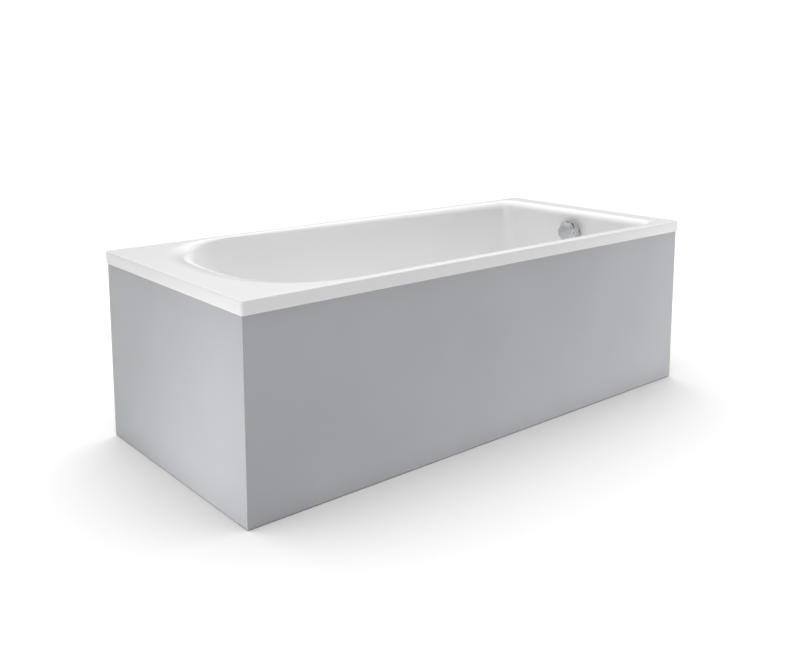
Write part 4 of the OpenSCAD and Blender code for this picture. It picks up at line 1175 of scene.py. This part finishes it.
@dataclass
class Stack:
    """Gathers closed forms into one mesh."""

    points: list[np.ndarray] = field(default_factory=list)
    faces: list[tuple[int, ...]] = field(default_factory=list)
    count: int = 0

    def add(self, rings: Rings, place: Matrix | None = None, closed: bool = False) -> None:
        """Adds the form that rings make.

        Args:
            rings: rings with equal counts of points.
            place: a placement in millimetres, or none.
            closed: True where the last ring joins the first.
        """
        points = np.vstack(rings)
        self.faces += skin_rings(rings, closed, self.count)
        self.points.append(placed(points, place) if place else points)
        self.count += len(points)

    def add_mesh(self, mesh: bpy.types.Mesh, place: Matrix) -> None:
        """Adds a copy of a mesh.

        Args:
            mesh: a mesh in metres.
            place: a placement in millimetres.
        """
        points = np.array([v.co for v in mesh.vertices]) / MM
        self.faces += [tuple(self.count + i for i in f.vertices) for f in mesh.polygons]
        self.points.append(placed(points, place))
        self.count += len(points)

    def piece(self, name: str, body: str, finish: Finish) -> Object:
        """Makes the gathered forms one piece."""
        return add_piece(name, body, np.vstack(self.points), self.faces, finish)


@dataclass
class Feet:
    """Four levelling feet: threaded studs with a collar in plastic pads, with their nuts."""

    stud_r: float = 6.0
    af: float = 18.0
    nut_h: float = 9.0
    nut_play: float = 0.3
    pitch: float = 1.75
    pad_edge: float = 0.7

    def build(self, frame: dict[str, Any]) -> None:
        """Builds the studs and nuts in place of the CAD ones, and finishes the pads.
        """
        for corner in ("head_front", "head_back", "foot_front", "foot_back"):
            self.build_stud(corner)
            soften(frame, DARK_NYLON, self.pad_edge, 3, f"foot_pad_{corner}")
        for node in ("rail_nuts", "lock_nuts"):
            stack = Stack()
            for low, high in islands(frame["nodes"][node]):
                middle = (low + high) / 2
                rings = nut_rings(self.af, low[2], high[2], self.stud_r + self.nut_play)
                stack.add(rings, Matrix.Translation((middle[0], middle[1], 0)), closed=True)
            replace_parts(stack.piece(f"{node}_turned", "tub", ZINC), node)

    def build_stud(self, corner: str) -> None:
        """Builds one threaded stud with its collar, in place of the CAD stud.

        Args:
            corner: the foot's place, such as head_front.
        """
        low, high = (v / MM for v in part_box(f"foot_stud_{corner}"))
        middle = (low + high) / 2
        place = Matrix.Translation((middle.x, middle.y, 0))
        stack = Stack()
        pad_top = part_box(f"foot_pad_{corner}")[1].z / MM
        stack.add(thread_rings(self.stud_r, low.z, high.z, self.pitch), place)
        stack.add(nut_rings(self.af, pad_top, pad_top + self.nut_h), place)
        piece = stack.piece(f"levelling_stud_{corner}", f"leg_{corner}", ZINC)
        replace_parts(piece, f"foot_stud_{corner}")


def islands(node: Object) -> list[tuple[np.ndarray, np.ndarray]]:
    """Finds the separate solids of a CAD node.

    Args:
        node: the node's object.

    Returns:
        The lowest and highest corners of each, in millimetres, in a fixed order.
    """
    form = bmesh.new()
    form.from_mesh(node.data)
    bmesh.ops.remove_doubles(form, verts=form.verts, dist=WELD_MM * MM)
    seen: set[int] = set()
    boxes = []
    for start in form.verts:
        if start.index in seen:
            continue
        seen.add(start.index)
        group, wave = [start], [start]
        while wave:
            wave = [e.other_vert(v) for v in wave for e in v.link_edges]
            wave = list({v.index: v for v in wave if v.index not in seen}.values())
            seen.update(v.index for v in wave)
            group += wave
        places = np.array([v.co for v in group]) / MM
        boxes.append((places.min(0), places.max(0)))
    form.free()
    return sorted(boxes, key=lambda b: [round(float(v), 1) for v in b[0]])


@dataclass
class Screws:
    """Pan-head screws with a crossed recess and a thread, in place of a CAD node's screws.

    The recess is given in shares of the head: its arms' reach and width by the radius, their
    depth by the height, and what they keep of their length and width at the bottom. A CAD point
    belongs to a screw within a touch of its box, and to its head beyond head_from of the radius.
    """

    node: str
    radius: float
    head_r: float
    head_h: float
    pitch: float
    arm_reach: float = 0.62
    arm_width: float = 0.3
    arm_depth: float = 0.6
    arm_taper: tuple[float, float] = (0.6, 0.8)
    cutter_over: float = 1.0
    overlap: float = 0.4
    touch: float = 0.01
    head_from: float = 0.9
    head_n: int = 48
    thread_n: int = 16

    def pattern(self, length: float) -> bpy.types.Mesh:
        """Builds one screw at the origin, with its head below and its tip up.

        Args:
            length: the length under the head.

        Returns:
            Its mesh, in metres.
        """
        ray = circle(self.head_r, self.head_n)
        head = Stack()
        head.add([at_height(ray * r, -self.head_h * (1 - u)) for r, u in PAN_HEAD])
        piece = head.piece("screw_head", "tub", ZINC)
        x, y = self.arm_reach * self.head_r, self.arm_width * self.head_r / 2
        arm = np.array([(-x, -y), (x, -y), (x, y), (-x, y)])
        mouth = at_height(arm, -self.head_h - self.cutter_over)
        floor = at_height(arm * self.arm_taper, (self.arm_depth - 1) * self.head_h)
        for turned in (0.0, math.pi / 2):
            tool = Stack()
            tool.add([mouth, floor], Matrix.Rotation(turned, 4, "Z"))
            cut(piece, tool.piece("recess_cutter", "tub", ZINC))
        both = Stack()
        both.add_mesh(piece.data, Matrix.Identity(4))
        both.add(thread_rings(self.radius, -self.overlap, length, self.pitch, self.thread_n))
        bpy.data.objects.remove(piece)
        made = both.piece("screw_pattern", "tub", ZINC)
        mesh = made.data
        bpy.data.objects.remove(made)
        return mesh

    def build(self, frame: dict[str, Any]) -> None:
        """Puts a detailed screw where each CAD screw is.
        """
        node, stack = frame["nodes"][self.node], Stack()
        meshes: dict[float, bpy.types.Mesh] = {}
        for low, high in islands(node):
            way, seat, length = self.driven(node, low, high)
            key = round(length, 1)
            if key not in meshes:
                meshes[key] = self.pattern(length)
            turn = Vector((0, 0, 1)).rotation_difference(way).to_matrix().to_4x4()
            stack.add_mesh(meshes[key], Matrix.Translation(seat) @ turn)
        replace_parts(stack.piece(f"{self.node}_threaded", "tub", ZINC), self.node)

    def driven(
        self, node: Object, low: np.ndarray, high: np.ndarray
    ) -> tuple[Vector, Vector, float]:
        """Works out how one screw is driven.

        Args:
            node: the CAD node's object.
            low: the screw's lowest corner.
            high: its highest corner.

        Returns:
            Its way, the middle of its head's seat, and its length under the head.
        """
        axis = int(np.argmax(high - low))
        middle = (low + high) / 2
        points = np.array([v.co for v in node.data.vertices]) / MM
        own = np.all((points > low - self.touch) & (points < high + self.touch), axis=1)
        off = points[own] - middle
        from_axis = np.linalg.norm(np.delete(off, axis, axis=1), axis=1)
        in_head = from_axis > self.head_from * self.head_r
        side = -1 if np.sign(off[in_head, axis]).sum() < 0 else 1
        way, seat = Vector((0, 0, 0)), Vector(middle)
        way[axis] = -side
        seat[axis] = (low if side < 0 else high)[axis] - side * self.head_h
        return way, seat, float((high - low)[axis] - self.head_h)


# Hose and cable


@dataclass
class Route:
    """A smooth line through points: straight ends, and bends between the middles of its legs."""

    points: Sequence[Sequence[float]]
    steps: int = 24
    end_step: float = 0.05

    def line(self) -> np.ndarray:
        """Works out the route's curve.

        Returns:
            Points along it, unevenly spaced.
        """
        p = [np.array(q, float) for q in self.points]
        made = [between(p[0], p[1], t) for t in np.arange(0, 0.5, self.end_step)]
        for a, b, c in zip(p, p[1:], p[2:]):
            made += [arc_blend((a + b) / 2, b, (b + c) / 2, t) for t in shares(self.steps)]
        # Half a step past 0, so that the end itself is the last point
        back = np.arange(0.5, -self.end_step / 2, -self.end_step)
        made += [between(p[-1], p[-2], t) for t in back]
        return np.array(made)

    def sampled(self, count: int) -> tuple[np.ndarray, np.ndarray, float]:
        """Spaces points evenly along the route.

        Args:
            count: the number of points.

        Returns:
            The points, their directions, and the route's length.
        """
        line = self.line()
        runs = np.concatenate([[0.0], np.cumsum(np.linalg.norm(np.diff(line, axis=0), axis=1))])
        wanted = np.linspace(0, runs[-1], count)
        points = np.column_stack([np.interp(wanted, runs, line[:, k]) for k in range(3)])
        return points, unit(np.gradient(points, axis=0)), float(runs[-1])

    def rings(
        self, radii: Callable[[float, float], float], count: int, sides: int
    ) -> list[np.ndarray]:
        """Sweeps a round section along the route.

        Args:
            radii: gives the radius from the run and the whole length.
            count: the number of rings.
            sides: points around a ring.

        Returns:
            The rings.
        """
        points, ways, length = self.sampled(count)
        ray = circle(1.0, sides)
        # No leg of a route runs this way, so every ring keeps its turn
        aside = [0.05, 1.0, 0.0]
        rings = []
        for i, (p, d) in enumerate(zip(points, ways)):
            u = unit(np.cross(d, aside))
            v = np.cross(d, u)
            r = radii(length * i / (count - 1), length)
            rings.append(p + r * (ray[:, :1] * u + ray[:, 1:] * v))
        return rings


@dataclass
class Plumbing:
    """The overflow hose, the cable sleeve, and the finishes of the drain, trap and overflow."""

    tub: Tub
    # The hose: its smooth ends and bore, its ribs, and how finely it is drawn
    spigot_r: float = 14.0
    bore_r: float = 11.0
    ribs: int = 56
    rib_h: float = 1.6
    rib_foot: float = 0.3
    rib_power: float = 0.7
    rib_fade: float = 2.0
    rings_per_rib: int = 9
    bore_rings: int = 60
    hose_n: int = 28
    # The spigots that it joins, measured from the overflow and from the drain, and the seam there
    spigot_u: float = -25.7
    spigot_drop: float = 58.0
    spigot_reach: float = 62.0
    spigot_below: float = 33.0
    hose_seam: float = 0.05
    # The cable sleeve: its thickness, how finely it is drawn, and the drum that it comes from
    cable_r: float = 2.5
    cable_rings: int = 220
    cable_n: int = 16
    drum_u: float = -45.3
    drum_h: float = 9.0
    drum_r: float = 14.0
    # Its way: straight down from the drum, round a wide bend, and level to its stop at the drain
    cable_start: float = -24.0
    cable_straight: float = 120.0
    cable_bend: tuple[float, float, float] = (797.0, -40.0, 240.0)
    cable_low_x: float = 793.0
    arm_y: float = 50.0
    wire_z: float = 90.56
    stop_x: float = 610.0
    # The widths of the rounded edges
    chrome_edge: float = 0.6
    fine_edge: float = 0.2
    white_edge: float = 0.8
    grey_edge: float = 0.6
    nylon_edge: float = 0.5

    def overflow_point(self, up: float, side: float, out: float) -> Vector:
        """Returns a place given in the overflow's own directions."""
        return self.tub.overflow_place @ Vector((up, side, out))

    def hose_radius(self, run: float, length: float) -> float:
        """Works out the hose's outer radius, smooth at both cuffs and ribbed between them.

        Args:
            run: the distance along the hose.
            length: the hose's length.

        Returns:
            The radius there.
        """
        cuff = 2 * self.spigot_r
        near = min(run, length - run) - cuff
        if near < 0:
            return self.spigot_r
        turns = (run - cuff) / (length - 2 * cuff) * self.ribs
        wave = 0.5 - 0.5 * math.cos(math.tau * turns)
        rise = (self.rib_h + self.rib_foot) * wave**self.rib_power
        return self.spigot_r - self.rib_foot + rise * min(1.0, near / self.rib_fade)

    def build_hose(self) -> Object:
        """Builds the ribbed hose in place of the CAD hose.

        Returns:
            The hose.
        """
        z = self.tub.drain_z - self.spigot_below
        top = self.overflow_point(-self.spigot_drop - self.hose_seam, 0.0, self.spigot_u)
        low_x = top.x - (top.z - z) * self.tub.foot_slope
        end_x = self.tub.drain_x + self.spigot_reach + self.hose_seam
        route = Route([top, (low_x, 0.0, z), (end_x, 0.0, z)])
        count = self.rings_per_rib * self.ribs + self.bore_rings
        outer = route.rings(self.hose_radius, count, self.hose_n)
        inner = route.rings(lambda run, length: self.bore_r, self.bore_rings, self.hose_n)
        stack = Stack()
        stack.add(outer + inner[::-1], closed=True)
        piece = stack.piece("overflow_hose_ribbed", "tub", HOSE_PLASTIC)
        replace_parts(piece, "overflow_hose")
        return piece

    def build_cable(self) -> Object:
        """Builds the smooth cable sleeve in place of the CAD one.

        Returns:
            The sleeve.
        """
        start, u = self.cable_start, self.drum_u - self.drum_h / 2
        points = [
            self.overflow_point(start, -self.drum_r, u),
            self.overflow_point(start - self.cable_straight, -self.drum_r, u),
            self.cable_bend,
            (self.cable_low_x, -self.arm_y, self.wire_z),
            (self.stop_x, -self.arm_y, self.wire_z),
        ]
        route = Route(points)
        stack = Stack()
        stack.add(route.rings(lambda run, length: self.cable_r, self.cable_rings, self.cable_n))
        piece = stack.piece("cable_sleeve_smooth", "tub", SLEEVE_PVC)
        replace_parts(piece, "cable_sleeve")
        return piece

    def build(self, frame: dict[str, Any]) -> None:
        """Builds the hose and cable and finishes the other pieces.
        """
        self.build_hose()
        self.build_cable()
        chromed = ("drain_flange", "plug_cap", "plug_stem", "overflow_flange")
        soften(frame, CHROME, self.chrome_edge, 3, *chromed)
        steel = ("knob_spindle", "lift_lever", "pull_wire")
        soften(frame, STAINLESS, self.fine_edge, 2, *steel)
        seals = ("flange_gasket", "body_gasket", "plug_seal", "trap_washer", "overflow_gaskets")
        soften(frame, RUBBER, self.fine_edge, 2, *seals)
        white = ("trap_cup", "trap_nut", "outlet_nut", "outlet_pipe", "hose_nuts")
        soften(frame, WHITE_PLASTIC, self.white_edge, 3, *white)
        grey = ("drain_body", "overflow_body", "housing_cover", "lift_cup")
        soften(frame, GREY_PLASTIC, self.grey_edge, 2, *grey)
        black = ("lever_arm", "cable_drum", "pipe_stand")
        soften(frame, DARK_NYLON, self.nylon_edge, 2, *black)


@dataclass
class Carcass:
    """The board, rails, battens, brackets and panels that carry and close the tub."""

    board_edge: float = 0.8
    batten_edge: float = 1.5
    panel_edge: float = 0.6
    sheet_edge: float = 0.4
    screws: tuple[Screws, ...] = (
        Screws("fixing_screws", 1.8, 3.6, 2.2, 1.2),
        Screws("batten_screws", 2.2, 4.4, 2.5, 2.0),
        Screws("rail_screws", 2.4, 4.8, 2.5, 2.0),
    )

    def build(self, frame: dict[str, Any]) -> None:
        """Finishes the solids and builds the screws.
        """
        soften(frame, CHIPBOARD, self.board_edge, 2, "base_board")
        sides = ("rim_batten_front", "rim_batten_back", "floor_batten_front")
        soften(frame, SPRUCE[Axis.X], self.batten_edge, 3, *sides)
        ends = ("rim_batten_head", "rim_batten_foot", "floor_batten_head", "floor_batten_foot")
        soften(frame, SPRUCE[Axis.Y], self.batten_edge, 3, *ends)
        soften(frame, PANEL_FOIL, self.panel_edge, 3, "panel_front", "panel_head", "panel_foot")
        sheets = ("leg_rail_head", "leg_rail_foot", "magnet_brackets")
        soften(frame, GALVANISED, self.sheet_edge, 2, *sheets)
        angles = ("floor_angles", "panel_angles", "wall_anchors")
        soften(frame, GALVANISED, self.sheet_edge, 2, *angles)
        soften(frame, NICKEL, self.sheet_edge, 2, "strike_plates", "cup_magnets")
        for screws in self.screws:
            screws.build(frame)


# Studio


@dataclass(frozen=True)
class Glow:
    """A soft bright part of the sky: the way to its middle, and its brightness there."""

    way: tuple[float, float, float]
    level: float


@dataclass(frozen=True)
class SoftBox:
    """A rectangular lamp for the tub, in metres and watts.

    It lights neither the floor nor mirrors: what gloss and chrome mirror is the sky alone.
    """

    name: str
    place: tuple[float, float, float]
    aim: tuple[float, float, float]
    wide: float
    tall: float
    power: float


@dataclass(frozen=True)
class FloorLight:
    """Wide light for the floor alone: where it comes from, its spread in degrees, its strength."""

    name: str
    way: tuple[float, float, float]
    spread: float
    strength: float


@dataclass
class Studio:
    """A floor without a horizon, a pale sky, soft boxes, and the camera.

    The floor is grey paper that its own wide lights bring up to white. The light that models
    the tub is left off it, so the contact shadow stays as deep as in daylight from all round.
    """

    # The camera: its place and the way behind it, as the rim in the photograph gives them, its
    # lens and sensor in millimetres, its shift, and how far it sees
    eye: tuple[float, float, float] = (-1.8593, -2.1187, 1.0588)
    back: tuple[float, float, float] = (-0.6378, -0.7562, 0.1463)
    lens: float = 41.34
    sensor: float = 36.0
    shift_y: float = -0.15
    clip_end: float = 200.0
    # The floor, and how bright the paper behind it shows
    floor_size: float = 60.0
    floor_colour: str = "#7c7c7c"
    paper_level: float = 1.2
    # The light: the sky that lights the scene, the sky that gloss mirrors, and the lamps
    glow_power: float = 4.0
    glows: tuple[Glow, ...] = (Glow((0.0, 0.0, 1.0), 2.313),)
    mirrored_glows: tuple[Glow, ...] = (
        Glow((0.0, -1.0, 0.15), 1.946),
        Glow((0.0, 0.7, 0.7), 0.3),
        Glow((1.0, 0.2, 0.15), 0.45),
        Glow((-0.7, 0.6, 0.35), 0.8),
    )
    boxes: tuple[SoftBox, ...] = (
        SoftBox("box_top", (0.0, 0.0, 2.8), (0.0, 0.0, 0.5), 2.4, 1.6, 38.4),
        SoftBox("box_back", (0.2, 1.9, 2.2), (0.0, 0.0, 0.5), 2.4, 1.2, 11.5),
        SoftBox("box_head_end", (-0.3, -0.2, 1.5), (-0.6, 0.1, 0.4), 0.7, 0.5, 0.8),
        SoftBox("box_foot_end", (1.5, 0.0, 1.5), (0.8, 0.0, 0.5), 0.8, 0.8, 1.0),
        SoftBox("fill_front_corner", (1.05, -0.9, 0.3), (0.85, -0.37, 0.3), 0.2, 0.56, 1.06),
        SoftBox("fill_front_low", (0.3, -0.75, 0.03), (0.3, -0.375, 0.08), 1.2, 0.06, 0.42),
        SoftBox("fill_front_base", (0.0, -0.5, 0.02), (0.0, -0.375, 0.04), 1.6, 0.04, 0.22),
        SoftBox("fill_head", (-1.3, -0.34, 0.3), (-0.85, -0.34, 0.3), 0.06, 0.56, 0.52),
        SoftBox("fill_head_low", (-1.4, -0.3, 0.12), (-0.85, -0.3, 0.12), 0.12, 0.2, 1.15),
        SoftBox("fill_head_base", (-1.0, 0.0, 0.02), (-0.85, 0.0, 0.05), 0.6, 0.04, 0.18),
    )
    floor_lights: tuple[FloorLight, ...] = (
        FloorLight("floor_all_round", (0.0, 0.0, 1.0), 180.0, 13.06),
        FloorLight("floor_from_foot_end", (0.6, 0.1, 0.6), 110.0, 0.65),
        FloorLight("floor_from_wall", (0.1, 0.6, 0.6), 110.0, 4.05),
    )
    floor_lights_at: tuple[float, float, float] = (0.0, 0.0, 3.0)

    def place_camera(self) -> None:
        """Puts the camera where the photograph was taken from."""
        data = bpy.data.cameras.new("camera")
        data.lens = self.lens
        data.sensor_width = self.sensor
        data.sensor_fit = "HORIZONTAL"
        data.shift_y = self.shift_y
        data.clip_end = self.clip_end
        camera = bpy.data.objects.new("camera", data)
        camera.location = self.eye
        camera.rotation_euler = Vector(self.back).to_track_quat("Z", "Y").to_euler()
        bpy.context.scene.collection.objects.link(camera)
        bpy.context.scene.camera = camera

    def lay_floor(self) -> Object:
        """Lays the floor: matt paper, on which only the contact shadow shows.

        Returns:
            The floor.
        """
        half = self.floor_size / 2
        mesh = bpy.data.meshes.new("studio_floor")
        corners = [(-half, -half, 0.0), (half, -half, 0.0), (half, half, 0.0), (-half, half, 0.0)]
        mesh.from_pydata(corners, [], [(0, 1, 2, 3)])
        floor = bpy.data.objects.new("studio_floor", mesh)
        bpy.context.scene.collection.objects.link(floor)
        paint = bpy.data.materials.new("studio_floor_paint")
        paint.use_nodes = True
        shader = paint.node_tree.nodes["Principled BSDF"]
        shader.inputs["Base Color"].default_value = linear(self.floor_colour)
        shader.inputs["Roughness"].default_value = 1.0
        shader.inputs["Specular IOR Level"].default_value = 0.0
        mesh.materials.append(paint)
        return floor

    def sum_glows(self, tree: Tree, way: Socket, glows: Sequence[Glow]) -> Node | None:
        """Adds up the soft bright parts of the sky.

        Args:
            tree: the world's node tree.
            way: the way that a ray goes.
            glows: the bright parts.

        Returns:
            The node that gives the brightness that way.
        """
        total: Node | None = None
        for glow in glows:
            dot = {"operation": "DOT_PRODUCT", 1: tuple(Vector(glow.way).normalized())}
            near = add_node(tree, "ShaderNodeVectorMath", dot, {0: way}).outputs["Value"]
            half = add_node(tree, "ShaderNodeMath", {"operation": "MAXIMUM", 1: 0.0}, {0: near})
            ease = {"operation": "POWER", 1: self.glow_power}
            soft = add_node(tree, "ShaderNodeMath", ease, {0: half})
            add = {"operation": "MULTIPLY_ADD", 1: glow.level, 2: 0.0}
            before = {2: total} if total else {}
            total = add_node(tree, "ShaderNodeMath", add, {0: soft} | before)
        return total

    def hang_sky(self) -> None:
        """Lights the scene from all round, and shows plain white behind it.

        Gloss and chrome mirror a sky of their own, brightest towards the front and high over
        the wall, as the highlights in the photograph ask for.
        """
        world = bpy.data.worlds.new("studio_light")
        bpy.context.scene.world = world
        world.use_nodes = True
        tree = world.node_tree
        tree.nodes.clear()
        way = add_node(tree, "ShaderNodeTexCoord").outputs["Generated"]
        rays = add_node(tree, "ShaderNodeLightPath").outputs
        skies = {
            0: rays["Is Glossy Ray"],
            2: self.sum_glows(tree, way, self.glows),
            3: self.sum_glows(tree, way, self.mirrored_glows),
        }
        level = add_node(tree, "ShaderNodeMix", links=skies)
        white = {"Color": linear("#ffffff")}
        light = add_node(tree, "ShaderNodeBackground", white, {"Strength": level})
        paper = add_node(tree, "ShaderNodeBackground", white | {"Strength": self.paper_level})
        shown = {0: rays["Is Camera Ray"], 1: light, 2: paper}
        mixed = add_node(tree, "ShaderNodeMixShader", links=shown)
        add_node(tree, "ShaderNodeOutputWorld", links={"Surface": mixed})

    def hang(
        self,
        data: bpy.types.Light,
        place: Sequence[float],
        way: Vector,
        reach: bpy.types.Collection,
    ) -> Object:
        """Hangs one light, which the camera doesn't see.

        Args:
            data: the light.
            place: where it hangs, in metres.
            way: the way from what it lights to the light.
            reach: says what it lights.

        Returns:
            The hung light.
        """
        lamp = bpy.data.objects.new(data.name, data)
        lamp.location = place
        lamp.rotation_euler = way.to_track_quat("Z", "Y").to_euler()
        lamp.visible_camera = False
        lamp.light_linking.receiver_collection = reach
        bpy.context.scene.collection.objects.link(lamp)
        return lamp

    def hang_lights(self, floor: Object) -> None:
        """Hangs the soft boxes for all but the floor, and the wide lights for the floor alone.

        Args:
            floor: the floor.
        """
        floor_only = bpy.data.collections.new("floor_only")
        floor_only.objects.link(floor)
        all_but_floor = bpy.data.collections.new("all_but_floor")
        all_but_floor.objects.link(floor)
        all_but_floor.collection_objects[0].light_linking.link_state = "EXCLUDE"
        for box in self.boxes:
            data = bpy.data.lights.new(box.name, "AREA")
            data.shape = "RECTANGLE"
            data.size, data.size_y, data.energy = box.wide, box.tall, box.power
            lamp = self.hang(data, box.place, Vector(box.place) - Vector(box.aim), all_but_floor)
            lamp.visible_glossy = False
        for light in self.floor_lights:
            data = bpy.data.lights.new(light.name, "SUN")
            data.angle, data.energy = math.radians(light.spread), light.strength
            self.hang(data, self.floor_lights_at, Vector(light.way), floor_only)

    def build(self) -> None:
        """Sets up the studio."""
        bpy.context.scene.view_settings.view_transform = "Standard"
        self.place_camera()
        floor = self.lay_floor()
        self.hang_sky()
        self.hang_lights(floor)


def main() -> None:
    """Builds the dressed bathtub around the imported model."""
    logging.basicConfig(level=logging.INFO, format="%(name)s %(message)s")
    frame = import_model()
    Studio().build()
    tub = Tub()
    tub.build()
    Knob(tub.overflow_place).build()
    Plumbing(tub).build(frame)
    Feet().build(frame)
    Carcass().build(frame)


if __name__ == "__main__":
    main()
